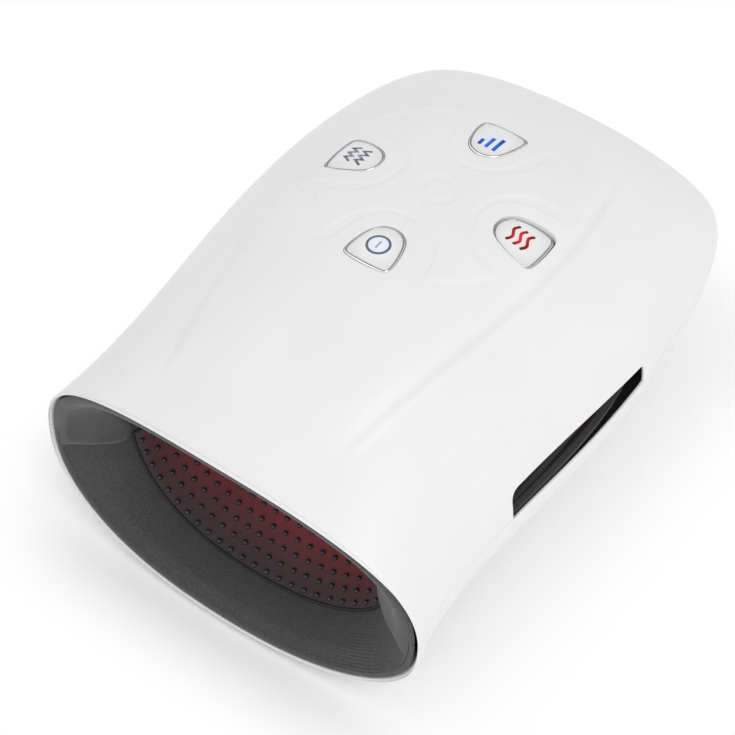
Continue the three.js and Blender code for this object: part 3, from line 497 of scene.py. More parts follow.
def fan(growth, turn, count=96, scale=1.0):
    """The outline of a button in plan: a smooth hull round three circles, grown outwards."""
    turn = math.radians(turn)
    nx, ny = np.cos(full_turn(count)), np.sin(full_turn(count))
    reaches = np.stack([u * nx + v * ny + r for u, v, r in FAN_CIRCLES])
    slopes = np.stack([v * nx - u * ny for u, v, r in FAN_CIRCLES])
    reach = (reaches**FAN_POWER).sum(0) ** (1 / FAN_POWER)
    slope = (reaches ** (FAN_POWER - 1) * slopes).sum(0) / reach ** (FAN_POWER - 1)
    u = scale * ((reach + growth) * nx - slope * ny)
    v = scale * ((reach + growth) * ny + slope * nx)
    x = (PATTERN_RADIUS + u) * math.cos(turn) - v * math.sin(turn)
    y = PATTERN_Y + (PATTERN_RADIUS + u) * math.sin(turn) + v * math.cos(turn)
    return x, y


def on_roof(growth, turn, rise, count=96, scale=1.0):
    x, y = fan(growth, turn, count, scale)
    height = rise(x, y) if callable(rise) else roof_at(x, y) + rise
    return np.stack([x, y, height], -1)


def bend(start, pull, end, count):
    """Points of a curve from start to end that leans towards pull."""
    t = np.linspace(0, 1, count)[:, None]
    return (1 - t) ** 2 * np.array(start) + 2 * t * (1 - t) * np.array(pull) + t**2 * np.array(end)


def slot_outline(margin=0.0, foot=0.0):
    """The side view of a thumb slot above the seam, as points of Y and Z from front to back."""
    front = MOUTH_Y + SLOT_SHARES[0] * BODY_LENGTH - margin
    back = MOUTH_Y + SLOT_SHARES[1] * BODY_LENGTH + margin
    top = [seam_height(s) + rise + margin for s, rise in zip(SLOT_SHARES, SLOT_RISES)]
    crest = sum(top) / 2 + SLOT_CROWN
    low = [seam_height(share_at(y)) + foot for y in (front, back)]
    near, far = SLOT_RADII
    return np.concatenate([
        np.linspace([front, low[0]], [front, top[0] - near], 12),
        bend((front, top[0] - near), (front, top[0]), (front + near, top[0]), 14)[1:],
        bend((front + near, top[0]), ((front + back) / 2, crest), (back - far, top[1]), 70)[1:],
        bend((back - far, top[1]), (back, top[1]), (back, top[1] - far), 12)[1:],
        np.linspace([back, top[1] - far], [back, low[1]], 10)[1:],
    ])


def pocket(x, y, radius, centre, flare):
    """How far a point lies outside the bays of the pattern that hold the buttons."""
    nearest = np.full(np.shape(x), 1e9)
    for turn in BUTTON_TURNS.values():
        a = math.radians(turn)
        u = x * math.cos(a) + y * math.sin(a) - centre
        v = np.abs(-x * math.sin(a) + y * math.cos(a))
        f = math.radians(flare)
        beyond = u * math.cos(f) + v * math.sin(f) > 0
        line = -math.sin(f) * u + math.cos(f) * v - radius
        ahead = np.where(beyond, line, np.hypot(u, v) - radius)
        nearest = np.minimum(nearest, ahead)
    return nearest


def clover(x, y, rim, radius, centre, flare, corner):
    """Signed distance from a four-leafed outline round the middle of the buttons."""
    x, y = np.asarray(x, float), np.asarray(y, float) - PATTERN_Y
    a = np.hypot(x, y) - rim
    b = -pocket(x, y, radius, centre, flare)
    away = np.hypot(np.maximum(a + corner, 0), np.maximum(b + corner, 0))
    return np.minimum(-corner, np.maximum(a, b)) + away


OUTER_LEAF = {"rim": 50.3, "radius": 15.0, "centre": 33.6, "flare": 13, "corner": 6.0}
INNER_LEAF = {"rim": 44.2, "radius": 20.2, "centre": 36.8, "flare": 12, "corner": 1.8}
LEAF_RISE = 0.34
LEAF_SOFTNESS = 0.95
CENTRE_RING = (5.1, 8.1)
RING_RISE = 0.28
RING_SOFTNESS = 0.9
# The outer line fades towards the front right, beyond a diagonal, where it runs along its rim.
# Both pairs say where the fading begins and how long it takes.
FADE_SHARE = 0.75
FADE_DIAGONAL = (52, 8)
FADE_RIM = (47, 2)

# The creases: where they run, from the mouth to the closed end, and how they fall and rise.
# Each pair is for the left one and the right one.
CREASE_RIGHT = (35.0, 42.7, 48.9, 49.6, 38.5)
CREASE_LEFT = (35.0, 44.0, 52.4, 54.6, 46.0)
CREASE_REACH = (5.0, 9.5)
CREASE_SLOPE = (1.0, 2.4)
CREASE_POWER = (1.7, 2.3)
CREASE_START = (-114, -106)
CREASE_FADE = (36, 52)
CREASE_RIDGE = 0.9

# What both creases share. Each pair says where a change begins and how long it takes.
CREASE_SPAN = (-100, 180)
SIDES_BLEND = (-20, 40)
RIDGE_RISE = (-0.2, 2.7)
RIDGE_FALL = (2.5, 2.8)
CREASE_END, CREASE_END_FADE = 84, 32
CREASE_HALO, CREASE_HALO_FADE = 60, 50


def outer_leaf(x, y):
    return clover(x, y, **OUTER_LEAF)


def inner_leaf(x, y):
    return clover(x, y, **INNER_LEAF)


def crease_line(side, y):
    """How far from the middle the crease of one side of the roof runs."""
    share = np.clip((y - CREASE_SPAN[0]) / CREASE_SPAN[1], -0.05, 1.05)
    return np.where(side > 0, through(CREASE_RIGHT, share), through(CREASE_LEFT, share))


def relief(x, y, z):
    """How far the roof's moulded pattern and its creases stand above its plain surface."""
    radius = np.hypot(x, y - PATTERN_Y)
    rim_fade = 1 - FADE_SHARE * ramp(x - (y - PATTERN_Y), *FADE_DIAGONAL) * ramp(radius, *FADE_RIM)
    down = smooth(0.5 - outer_leaf(x, y) / LEAF_SOFTNESS) * rim_fade
    up = smooth(0.5 - inner_leaf(x, y) / LEAF_SOFTNESS)
    inner_side, outer_side = (smooth(0.5 + (edge - radius) / RING_SOFTNESS) for edge in CENTRE_RING)
    pattern = LEAF_RISE * (up - down) - RING_RISE * (outer_side - inner_side)

    aside = np.abs(x) - crease_line(x, y)
    side = ramp(x, *SIDES_BLEND)
    fade = ramp(y, lerp(*CREASE_START, side), lerp(*CREASE_FADE, side))
    fade = fade * smooth((CREASE_END - y) / CREASE_END_FADE)
    reach = lerp(*CREASE_REACH, side)
    fall = np.clip((aside + reach) / reach, 0, 1) ** lerp(*CREASE_POWER, side)
    slope = lerp(*CREASE_SLOPE, side) * (1 - fall)
    ridge = CREASE_RIDGE * (ramp(aside, *RIDGE_RISE) - ramp(aside, *RIDGE_FALL))
    halo = smooth((CREASE_HALO - np.abs(aside)) / CREASE_HALO_FADE)
    return pattern + fade * (slope + side * ridge) * halo


# Finishes.

class Value:
    """A number on its way through a tree of nodes. Arithmetic on it adds Math nodes."""

    def __init__(self, nodes, socket):
        self.nodes = nodes
        self.socket = socket

    def maths(self, operation, *values):
        node = self.nodes.node("ShaderNodeMath", {"operation": operation}, dict(enumerate(values)))
        return self.nodes.out(node)

    def __add__(self, other):
        return self.maths("ADD", self, other)

    def __radd__(self, other):
        return self.maths("ADD", other, self)

    def __sub__(self, other):
        return self.maths("SUBTRACT", self, other)

    def __rsub__(self, other):
        return self.maths("SUBTRACT", other, self)

    def __mul__(self, other):
        return self.maths("MULTIPLY", self, other)

    def __rmul__(self, other):
        return self.maths("MULTIPLY", other, self)

    def __truediv__(self, other):
        return self.maths("DIVIDE", self, other)

    def __pow__(self, other):
        return self.maths("POWER", self, other)

    def __abs__(self):
        return self.maths("ABSOLUTE", self)

    def sine(self):
        return self.maths("SINE", self)

    def least(self, other):
        return self.maths("MINIMUM", self, other)

    def most(self, other):
        return self.maths("MAXIMUM", self, other)

    def step(self, low, high):
        """A smooth rise from 0 at low to 1 at high."""
        settings = {"interpolation_type": "SMOOTHSTEP"}
        node = self.nodes.node("ShaderNodeMapRange", settings, {0: self, 1: low, 2: high, 3: 0.0, 4: 1.0})
        return self.nodes.out(node)


class Nodes:
    """A tree of nodes that grows by one node at a time."""

    def __init__(self, tree):
        self.tree = tree

    def node(self, kind, settings=None, sockets=None):
        made = self.tree.nodes.new(kind)
        for key, value in (settings or {}).items():
            setattr(made, key, value)
        for key, value in (sockets or {}).items():
            self.feed(made.inputs[key], value)
        return made

    def feed(self, socket, value):
        if isinstance(value, Value):
            self.tree.links.new(value.socket, socket)
        else:
            socket.default_value = value

    def out(self, node, key=0):
        return Value(self, node.outputs[key])


class Finish(Nodes):
    """A material made of nodes, on one Principled shader whose plain values are set directly."""

    def __init__(self, name, **plain):
        self.material = bpy.data.materials.new(name)
        self.material.use_nodes = True
        super().__init__(self.material.node_tree)
        self.tree.nodes.clear()
        self.output = self.tree.nodes.new("ShaderNodeOutputMaterial")
        self.shader = self.tree.nodes.new("ShaderNodeBsdfPrincipled")
        self.tree.links.new(self.shader.outputs[0], self.output.inputs[0])
        for key, value in plain.items():
            self.shader.inputs[key.replace("_", " ").title().replace("Ior", "IOR")].default_value = value

    def set(self, **values):
        for key, value in values.items():
            self.feed(self.shader.inputs[key.replace("_", " ").title()], value)
        return self.material

    def place(self):
        """The point on the piece, in millimetres."""
        at = self.out(self.node("ShaderNodeTexCoord"), "Object")
        node = self.node("ShaderNodeVectorMath", {"operation": "SCALE"}, {0: at, "Scale": 1000.0})
        return self.out(node)

    def uv(self):
        return self.out(self.node("ShaderNodeTexCoord"), "UV")

    def split(self, vector):
        node = self.node("ShaderNodeSeparateXYZ", {}, {0: vector})
        return [self.out(node, key) for key in range(3)]

    def joined(self, x, y, z):
        return self.out(self.node("ShaderNodeCombineXYZ", {}, {0: x, 1: y, 2: z}))

    def beside(self, at, middle):
        """How far aside of an upright line through a spot in plan a point lies."""
        x, y, _ = self.split(at)
        return ((x - middle[0]) ** 2.0 + (y - middle[1]) ** 2.0) ** 0.5

    def noise(self, vector, size, detail=2.0, roughness=0.5):
        """Noise from 0 to 1 whose patches are about size millimetres wide."""
        sockets = {"Vector": vector, "Scale": 1.0 / size, "Detail": detail, "Roughness": roughness}
        return self.out(self.node("ShaderNodeTexNoise", {}, sockets))

    def blend(self, share, first, second):
        """A colour between two colours."""
        sockets = {0: share}
        for key, colour in ((6, first), (7, second)):
            sockets[key] = colour if isinstance(colour, Value) else (*colour, 1)
        return self.out(self.node("ShaderNodeMix", {"data_type": "RGBA"}, sockets), 2)

    def bump(self, height, depth):
        """A normal from a height from 0 to 1 that stands for a depth in millimetres."""
        node = self.node("ShaderNodeBump", {}, {"Height": height, "Distance": depth * MM, "Strength": 1.0})
        return self.out(node)


def white_plastic():
    made = Finish("satin white shell", ior=1.46, coat_roughness=0.25)
    at = made.place()
    cloud, grain = made.noise(at, 35.0), made.noise(at, 0.55, 3.0, 0.6)
    colour = made.blend(cloud.step(0.3, 0.7), (0.822, 0.820, 0.820), (0.842, 0.840, 0.840))
    return made.set(
        base_color=colour,
        roughness=0.36 + 0.05 * cloud + 0.04 * grain,
        coat_weight=0.12 + 0.06 * cloud,
        normal=made.bump(grain, 0.006),
    )


def ink(red, green, blue):
    """A colour from its screen values of 0 to 255."""
    shares = (red / 255, green / 255, blue / 255)
    return tuple(v / 12.92 if v <= 0.04045 else ((v + 0.055) / 1.055) ** 2.4 for v in shares)


def cap_with_painted_light(name, middle, glow, painted_light):
    """Smooth white cap with light painted into its colour: a glow round its printed sign, as though lit from
    behind, and painted shade towards its edges.
    """
    made = Finish(name, ior=1.48, coat_roughness=0.12)
    at = made.place()
    away = made.beside(at, middle)
    # Painted glow: towards the sign's middle the colour turns to the tint of the painted light.
    light = 1 - away.step(glow * 0.3, glow)
    cloud, grain = made.noise(at, 6.0), made.noise(at, 0.4, 2.0)
    # Painted shade: the cap's colour darkens towards its edges, as a domed cap would be shaded there.
    plastic = made.blend(away.step(3.0, 10.5), (0.86, 0.86, 0.86), (0.75, 0.75, 0.75))
    colour = made.blend(light * 0.8, plastic, painted_light)
    return made.set(
        base_color=colour,
        roughness=0.22 + 0.06 * cloud,
        coat_weight=0.3 + 0.1 * cloud,
        normal=made.bump(grain, 0.003),
    )


def chrome_with_painted_reflection():
    """Polished trim with a reflection painted into its colour: bright where its face slopes upwards, dark
    low on its side, as though it mirrored the floor.
    """
    made = Finish("polished chrome", metallic=1.0)
    at = made.place()
    cloud, dust = made.noise(at, 3.0), made.noise(at, 0.3, 3.0)
    _, _, rise = made.split(made.out(made.node("ShaderNodeNewGeometry"), "Normal"))
    # Painted reflection: the light and dark bands in the colour follow which way the face looks.
    painted_reflection = rise.step(0.05, 0.30) * (1 - rise.step(0.60, 0.85) * 0.85)
    colour = made.blend(painted_reflection, (0.14, 0.14, 0.15), (0.90, 0.91, 0.92))
    return made.set(
        base_color=colour,
        roughness=0.10 + 0.05 * cloud + 0.03 * dust,
        normal=made.bump(dust, 0.002),
    )


def ink_with_painted_glow(name, dark, light, middle, reach):
    """Ink whose colour has a glow painted in, brightest over the lamp under the middle of its sign."""
    made = Finish(name, ior=1.45, specular_ior_level=0.25)
    at = made.place()
    away = made.beside(at, middle)
    grain = made.noise(at, 0.35, 2.0)
    # Painted glow: the ink goes from its dark colour at the edges to its light colour over the middle.
    share = (1 - away.step(reach * 0.15, reach)) * 0.92 + 0.08 * grain
    return made.set(base_color=made.blend(share, ink(*dark), ink(*light)), roughness=0.42 + 0.1 * grain)


def knit(name, dark, light, rib=1.35, rib_depth=0.10, glow=False):
    """Fine melange jersey: courses along the rim and wales across them, on the piece's own map.

    The map is in millimetres. The courses open up into ribs at the corners of the mouth, where
    the cloth is stretched round.
    """
    made = Finish(name, sheen_weight=0.3, sheen_roughness=0.45, specular_ior_level=0.2)
    at, uv = made.place(), made.uv()
    x, y, z = made.split(at)
    u, v, _ = made.split(uv)
    wobble = made.noise(at, 9.0, 2.0) - 0.5
    course = (v * (2 * math.pi / rib) + wobble * 3.0).sine()
    wale = (u * (2 * math.pi / (rib * 0.8)) + wobble * 2.0).sine()
    crown = abs(x).step(50.0, 66.0) * z.step(54.0, 66.0)
    heel = x.step(38.0, 60.0) * (1 - z.step(14.0, 30.0)) * z.step(4.0, 9.0)
    stretched = (crown + 0.8 * heel).least(1.0) * (1 - y.step(-98.0, -84.0))
    loop = 0.5 + course * (0.05 + 0.45 * stretched) + 0.08 * wale * (1 - stretched)
    fleck = made.noise(at, 0.45, 3.0, 0.65)
    heather = made.noise(made.joined(u, v * 3.0, z * 0.2), 1.1, 2.0, 0.6)
    cloud = made.noise(at, 16.0, 2.0)
    yarn = fleck.step(0.34, 0.68) * 0.5 + heather.step(0.35, 0.65) * 0.25
    share = yarn + loop * (0.18 + 0.5 * stretched) - 0.25 * stretched + cloud * 0.2
    # Painted shade: the colour darkens deeper inside the cavity, away from the mouth.
    within = y.step(-112.0, -62.0) * 0.55
    colour = made.blend(share * (1 - within), dark, light)
    made.set(
        base_color=colour,
        roughness=0.86 + 0.1 * fleck,
        normal=made.bump(loop + fleck * 0.35, rib_depth),
    )
    # Painted light: the fabric emits a red glow deeper in the cavity, in place of the heater's light.
    if glow:
        deep = y.step(-104.0, -62.0) * (0.45 + 0.55 * y.step(-92.0, -45.0))
        patch = made.noise(at, 22.0, 1.0)
        strength = deep * (0.55 + 0.9 * patch) * (0.8 + 0.4 * fleck)
        red = made.blend(strength, (0, 0, 0), (0.22, 0.015, 0.021))
        made.set(emission_color=red, emission_strength=1.0)
    return made.material


def nub_silicone():
    made = Finish("nub silicone", ior=1.43, coat_roughness=0.15)
    at = made.place()
    _, y, _ = made.split(at)
    grain, cloud = made.noise(at, 0.3, 2.0), made.noise(at, 9.0)
    # Painted light: the nubs deeper in the cavity emit a faint red glow, in place of the heater's light on
    # them.
    painted_light = y.step(-90.0, -50.0)
    return made.set(
        base_color=made.blend(cloud, (0.020, 0.020, 0.024), (0.035, 0.034, 0.038)),
        roughness=0.32 + 0.12 * grain,
        coat_weight=0.2 + 0.1 * cloud,
        emission_color=made.blend(painted_light * 0.03, (0, 0, 0), (1.0, 0.06, 0.08)),
        emission_strength=1.0,
        normal=made.bump(grain, 0.01),
    )


def moulded(name, dark, light, rough, grain_size=0.5, depth=0.01, **plain):
    """Moulded plastic or rubber with a fine grain and slightly uneven colour."""
    made = Finish(name, **plain)
    at = made.place()
    cloud, grain = made.noise(at, 8.0), made.noise(at, grain_size, 3.0)
    return made.set(
        base_color=made.blend(cloud * 0.6 + grain * 0.4, dark, light),
        roughness=rough + 0.08 * cloud + 0.06 * grain,
        normal=made.bump(grain, depth),
    )


def brushed(name, dark, light, rough):
    """Metal with fine turning marks."""
    made = Finish(name, metallic=1.0)
    at = made.place()
    x, y, z = made.split(at)
    lines = made.noise(made.joined(x * 0.08, y, z), 0.12, 3.0)
    cloud = made.noise(at, 5.0)
    return made.set(
        base_color=made.blend(lines * 0.6 + cloud * 0.4, dark, light),
        roughness=rough + 0.12 * lines,
        normal=made.bump(lines, 0.004),
    )


def circuit_board(name):
    """Green laminate with copper tracks under the mask and pale printed marks."""
    made = Finish(name, ior=1.5, coat_roughness=0.2)
    at = made.place()
    x, y, _ = made.split(at)
    track_x = ((x * (2 * math.pi / 2.4)).sine() - 0.75).step(0.0, 0.08)
    track_y = ((y * (2 * math.pi / 3.1)).sine() - 0.8).step(0.0, 0.08)
    patch = made.noise(at, 9.0).step(0.48, 0.52)
    tracks = track_x * patch + track_y * (1 - patch)
    cloud = made.noise(at, 12.0)
    colour = made.blend(tracks, (0.012, 0.085, 0.036), (0.03, 0.17, 0.07))
    return made.set(
        base_color=colour,
        roughness=0.34 + 0.1 * cloud,
        coat_weight=0.3 + 0.1 * cloud,
        normal=made.bump(tracks, 0.03),
    )


def heating_film_finish():
    """Amber film with a dark zigzag heating track."""
    made = Finish("heating film", ior=1.5)
    at = made.place()
    x, y, _ = made.split(at)
    sway = (y * (2 * math.pi / 9.0)).sine() * 1.6
    track = (((x + sway) * (2 * math.pi / 4.2)).sine() - 0.55).step(0.0, 0.15)
    cloud = made.noise(at, 7.0)
    colour = made.blend(track, (0.50, 0.15, 0.03), (0.10, 0.035, 0.015))
    return made.set(base_color=colour, roughness=0.3 + 0.15 * cloud, normal=made.bump(track, 0.05))


def film(name, dark, light, patch, wrinkles, rough, uneven, depth, **plain):
    """Thin film, a little wrinkled, of a slightly uneven colour."""
    made = Finish(name, **plain)
    at = made.place()
    wrinkle, cloud = made.noise(at, *wrinkles), made.noise(at, patch)
    return made.set(
        base_color=made.blend(cloud, dark, light),
        roughness=rough + uneven * wrinkle,
        normal=made.bump(wrinkle, depth),
    )


FINISHES = {
    "shell": white_plastic(),
    "chrome": chrome_with_painted_reflection(),
    "upper knit": knit("grey melange knit, upper", (0.036, 0.036, 0.038), (0.112, 0.112, 0.116)),
    "lower knit": knit("grey melange knit, lower", (0.038, 0.038, 0.040), (0.118, 0.118, 0.122)),
    "mat": knit("dark mat fabric", (0.036, 0.036, 0.039), (0.078, 0.078, 0.083), 0.9, 0.06, True),
    "binding": moulded("mat binding", (0.010, 0.010, 0.012), (0.020, 0.020, 0.022), 0.6, 0.4, 0.03),
    "nub": nub_silicone(),
    "film": heating_film_finish(),
    "bag": film("airbag film", (0.44, 0.46, 0.50), (0.52, 0.54, 0.58), 20.0, (4.0, 4.0, 0.6),
                0.38, 0.15, 0.25, ior=1.45),
    "frame": moulded("black moulded frame", (0.022, 0.023, 0.026), (0.036, 0.038, 0.042), 0.5),
    "board": circuit_board("green board"),
    "switch": moulded("black switch", (0.008, 0.008, 0.010), (0.014, 0.014, 0.016), 0.38),
    "plunger": moulded("red plunger", (0.22, 0.018, 0.012), (0.30, 0.03, 0.02), 0.4),
    "cell": film("battery wrap", (0.30, 0.33, 0.37), (0.40, 0.43, 0.47), 15.0, (2.5, 4.0, 0.65),
                 0.28, 0.2, 0.12, metallic=0.35),
    "steel": brushed("brushed steel", (0.42, 0.43, 0.44), (0.50, 0.51, 0.52), 0.24),
    "pump": moulded("black pump housing", (0.011, 0.012, 0.014), (0.018, 0.019, 0.022), 0.45),
    "brass": brushed("turned brass", (0.40, 0.24, 0.06), (0.48, 0.30, 0.08), 0.22),
    "foam": moulded("grey foam", (0.12, 0.13, 0.14), (0.20, 0.21, 0.22), 0.85, 0.6, 0.25),
    "hose": moulded("milky silicone", (0.62, 0.64, 0.61), (0.72, 0.74, 0.71), 0.32),
    "foot": moulded("foot rubber", (0.020, 0.021, 0.023), (0.032, 0.033, 0.036), 0.7, 0.4, 0.03),
    "diaphragm": moulded("diaphragm rubber", (0.018, 0.018, 0.021), (0.028, 0.028, 0.031), 0.5),
}


def settle(made, node, body="case"):
    """The piece stands for a node of the solids, which is hidden, and rides on its body."""
    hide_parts(node)
    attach(made, body)
    return made


# Camera, floor and lamps.

CAMERA_ANGLES = (37.201, 49.563, -1.0134)
CAMERA_AIM = (-0.011387, -0.011095, 0.032350)
CAMERA_DISTANCE = 0.857335
CAMERA_LENS = 109.972

ROOM_LIGHT = 0.70
FLOOR_HALF = 6.0
SHADOW_BLOCK = (55.0, 88.0)
SHADOW_FADE = (28.0, 70.0)
LAMP_TARGET = (0, 0, 0.05)
LAMPS = {
    "key": {"place": (0.95, -0.35, 0.95), "size": (0.8, 0.8), "power": 5.0},
    "top": {"place": (-0.1, 0.1, 1.5), "size": (1.6, 1.6), "power": 1.7},
    "front": {"place": (-0.4, -1.3, 0.7), "size": (0.9, 0.6), "power": 0.8},
    "left": {"place": (-1.2, -0.3, 0.8), "size": (0.8, 0.8), "power": 1.2},
}


def set_camera():
    """The view from which the looks were matched: above the mouth, from its right."""
    turn, height, roll = map(math.radians, CAMERA_ANGLES)
    back = Vector((math.sin(turn) * math.cos(height), -math.cos(turn) * math.cos(height), math.sin(height)))
    right = (-back).cross(Vector((0, 0, 1))).normalized()
    up = right.cross(-back)
    across = math.cos(roll) * right + math.sin(roll) * up
    upward = -math.sin(roll) * right + math.cos(roll) * up
    place = Vector(CAMERA_AIM) + back * CAMERA_DISTANCE
    data = bpy.data.cameras.new("camera")
    data.sensor_width = 36
    data.lens = CAMERA_LENS
    data.clip_start, data.clip_end = 0.01, 100
    camera = bpy.data.objects.new("camera", data)
    rows = zip(across, upward, back, place)
    camera.matrix_world = Matrix([tuple(row) for row in rows] + [(0, 0, 0, 1)])
    bpy.context.scene.collection.objects.link(camera)
    bpy.context.scene.camera = camera


def add_lamp(name, place, size, power):
    data = bpy.data.lights.new(name, "AREA")
    data.shape = "RECTANGLE"
    data.size, data.size_y = size
    data.energy = power
    lamp = bpy.data.objects.new(name, data)
    lamp.location = place
    lamp.rotation_euler = (Vector(LAMP_TARGET) - Vector(place)).to_track_quat("-Z", "Y").to_euler()
    bpy.context.scene.collection.objects.link(lamp)


def camera_share(nodes):
    """One where a ray comes from the camera, or off metal or through glass, else zero."""
    path = nodes.node("ShaderNodeLightPath")
    seen, mirrored, refracted = (
        nodes.out(path, f"Is {ray} Ray") for ray in ("Camera", "Glossy", "Transmission")
    )
    return seen.most(mirrored).most(refracted)


def set_stage():
    """White room, a floor that is white paper with the soft shadow on it, and the lamps."""
    scene = bpy.context.scene
    scene.view_settings.view_transform = "Standard"
    world = bpy.data.worlds.new("white studio")
    scene.world = world
    world.use_nodes = True
    room = Nodes(world.node_tree)
    background = room.tree.nodes["Background"]
    background.inputs["Color"].default_value = (1, 1, 1, 1)
    strength = room.node("ShaderNodeMix", {}, {0: camera_share(room), 2: ROOM_LIGHT, 3: 1.0})
    room.feed(background.inputs["Strength"], room.out(strength))

    mesh = bpy.data.meshes.new("floor")
    corners = [(x * FLOOR_HALF, y * FLOOR_HALF, 0) for x, y in ((-1, -1), (1, -1), (1, 1), (-1, 1))]
    mesh.from_pydata(corners, [], [(0, 1, 2, 3)])
    floor = bpy.data.objects.new("floor", mesh)
    scene.collection.objects.link(floor)
    paper = Finish("white paper")
    paper.tree.nodes.remove(paper.shader)
    x, y, _ = paper.split(paper.place())
    across, along = SHADOW_BLOCK
    away = ((abs(x) - across).most(0.0) ** 2.0 + (abs(y) - along).most(0.0) ** 2.0) ** 0.5
    bare = away.step(*SHADOW_FADE) * camera_share(paper)
    matt = paper.node("ShaderNodeBsdfDiffuse", {}, {"Color": (1, 1, 1, 1)})
    light = paper.node("ShaderNodeEmission", {}, {"Color": (1, 1, 1, 1), "Strength": 1.0})
    blend = paper.node("ShaderNodeMixShader", {}, {0: bare, 1: paper.out(matt), 2: paper.out(light)})
    paper.feed(paper.output.inputs[0], paper.out(blend))
    mesh.materials.append(paper.material)

    for name, lamp in LAMPS.items():
        add_lamp(name, **lamp)


set_camera()
set_stage()


# Shells.

# The radii of a shell's edges at the mouth, along the seam and round the thumb slots.
UPPER_EDGES = {"outer": (0.8, 0.35, 0.5), "inner": (0.25, 0.3, 0.25)}
LOWER_EDGES = {"outer": (0.8, 0.35, 0.35), "inner": (0.25, 0.3, 0.3)}
CAP_OPENING = CAP_GAP + BEZEL_WIDTH + SEAT_GAP - CAP_TRIM
FINE_STEPS = 3000
END_TURN = 0.972


def seam_place(half, share, height, inset=0.0):
    """The place whose height above or below the seam is a height."""
    sine = (height / np.maximum(half.rise(share, inset), height + 1e-6)) ** (half.exponent(share) / 2)
    return np.degrees(np.arcsin(np.clip(sine, 0, 1)))


def even(points, count):
    """Evenly spaced points along a path."""
    lengths = lengths_along(points)
    t = np.linspace(0, lengths[-1], count)
    return np.stack([np.interp(t, lengths, column) for column in points.T], -1)


def seam_run(half, inset, first, last, height, count):
    """Points along the right-hand seam, at a height above or below it."""
    length = BODY_LENGTH - inset
    share = first + (last - first) * (1 - np.linspace(1, 0, FINE_STEPS) ** (3 if last == 1 else 1))
    share = np.append(share[:-1], last)
    path = even(half.point(share, np.zeros(share.shape), inset), count)
    share = (path[:, 1] - MOUTH_Y) / length
    for _ in range(6):
        share = (path[:, 1] - MOUTH_Y - MOUTH_BOW * (1 - np.clip(share, 0, 1)) ** 2) / length
    share = np.clip(share, 0, 0.9999)
    along = half.point(share, seam_place(half, share, height, inset), inset)
    z = np.where(share > 0.999, seam_height(1.0), seam_height(share)) + half.way * height
    return np.where((share > END_TURN)[:, None], half.behind(path[:, 0], z, inset), along)


def edge_row(half, inset, drops, start, slots):
    """The edge of a half at set distances from the mouth, the seam and the thumb slots."""
    mouth, seam, slot = drops
    from_mouth, height = mouth / BODY_LENGTH, start + seam
    if slots:
        first, last = SLOT_SHARES[0] - slot / BODY_LENGTH, SLOT_SHARES[1] + slot / BODY_LENGTH
        right = np.concatenate([
            seam_run(half, inset, from_mouth, first, height, 50)[:-1],
            half.beside(1, *slot_outline(slot, height).T, inset),
            seam_run(half, inset, last, 1.0, height, 110)[1:],
        ])
    else:
        right = seam_run(half, inset, from_mouth, 1.0, height, 210)
    left = (right * [-1, 1, 1])[::-1][1:]
    low = seam_place(half, np.array([from_mouth]), height, inset)[0]
    places = np.linspace(low, 180 - low, FINE_STEPS)
    front = even(half.point(np.full(places.shape, from_mouth), places, inset), 170)
    return np.concatenate([right, left, front[::-1][1:-1]])


def edge_depth(row, radii):
    """The radius of the edge at each of its points."""
    mouth, seam, slot = radii
    x, y, z = row.T
    share = share_at(y)
    high = z - seam_height(np.clip(share, 0, 1))
    beside = (share > 0.2) * (share < 0.7) * (np.abs(x) > MOUTH_HALF_WIDTH * 0.6)
    at_slot = smooth((high - 0.4) / 1.5) * beside
    at_mouth = 1 - smooth((mouth_distance(x, y) - 1.4) / 0.8)
    return seam + (slot - seam) * at_slot + (mouth - seam) * at_mouth


def edge_rows(half, inset, radii, start=0.0, slots=False):
    """The rows of a half's rounded edge with their depths."""
    rows = []
    for angle in EDGE_ANGLES:
        row = edge_row(half, inset, [r * (1 - math.cos(angle)) for r in radii], start, slots)
        rows.append((row, edge_depth(row, radii) * (1 - math.sin(angle))))
    return rows


def hole_rows(place, outline, radius):
    """Rows round an opening whose outline is a function of its growth, with their depths."""
    rows = []
    for angle in EDGE_ANGLES:
        growth = radius * (1 - math.cos(angle))
        rows.append((place(*outline(growth)), radius * (1 - math.sin(angle))))
    return rows


def circle(x, y, radius):
    """The outline of a round opening in plan as a function of its growth."""
    return lambda growth: round_path(x, y, radius + growth, BOSS_SIDES).T


def port_outline(growth):
    """The rounded outline of the charging socket as points of X and Z."""
    growth = growth + SEAT_GAP
    radius = PORT_ROUND + growth
    x, z = [], []
    for across, up, start in ((1, -1, -90), (1, 1, 0), (-1, 1, 90), (-1, -1, 180)):
        angle = np.radians(np.linspace(start, start + 90, 12))
        x.append(across * (PORT_HALF_WIDTH + growth - radius) + radius * np.cos(angle))
        z.append(up * (PORT_HALF_RISE + growth - radius) + radius * np.sin(angle))
    return np.concatenate(x), np.concatenate(z) + PORT_Z


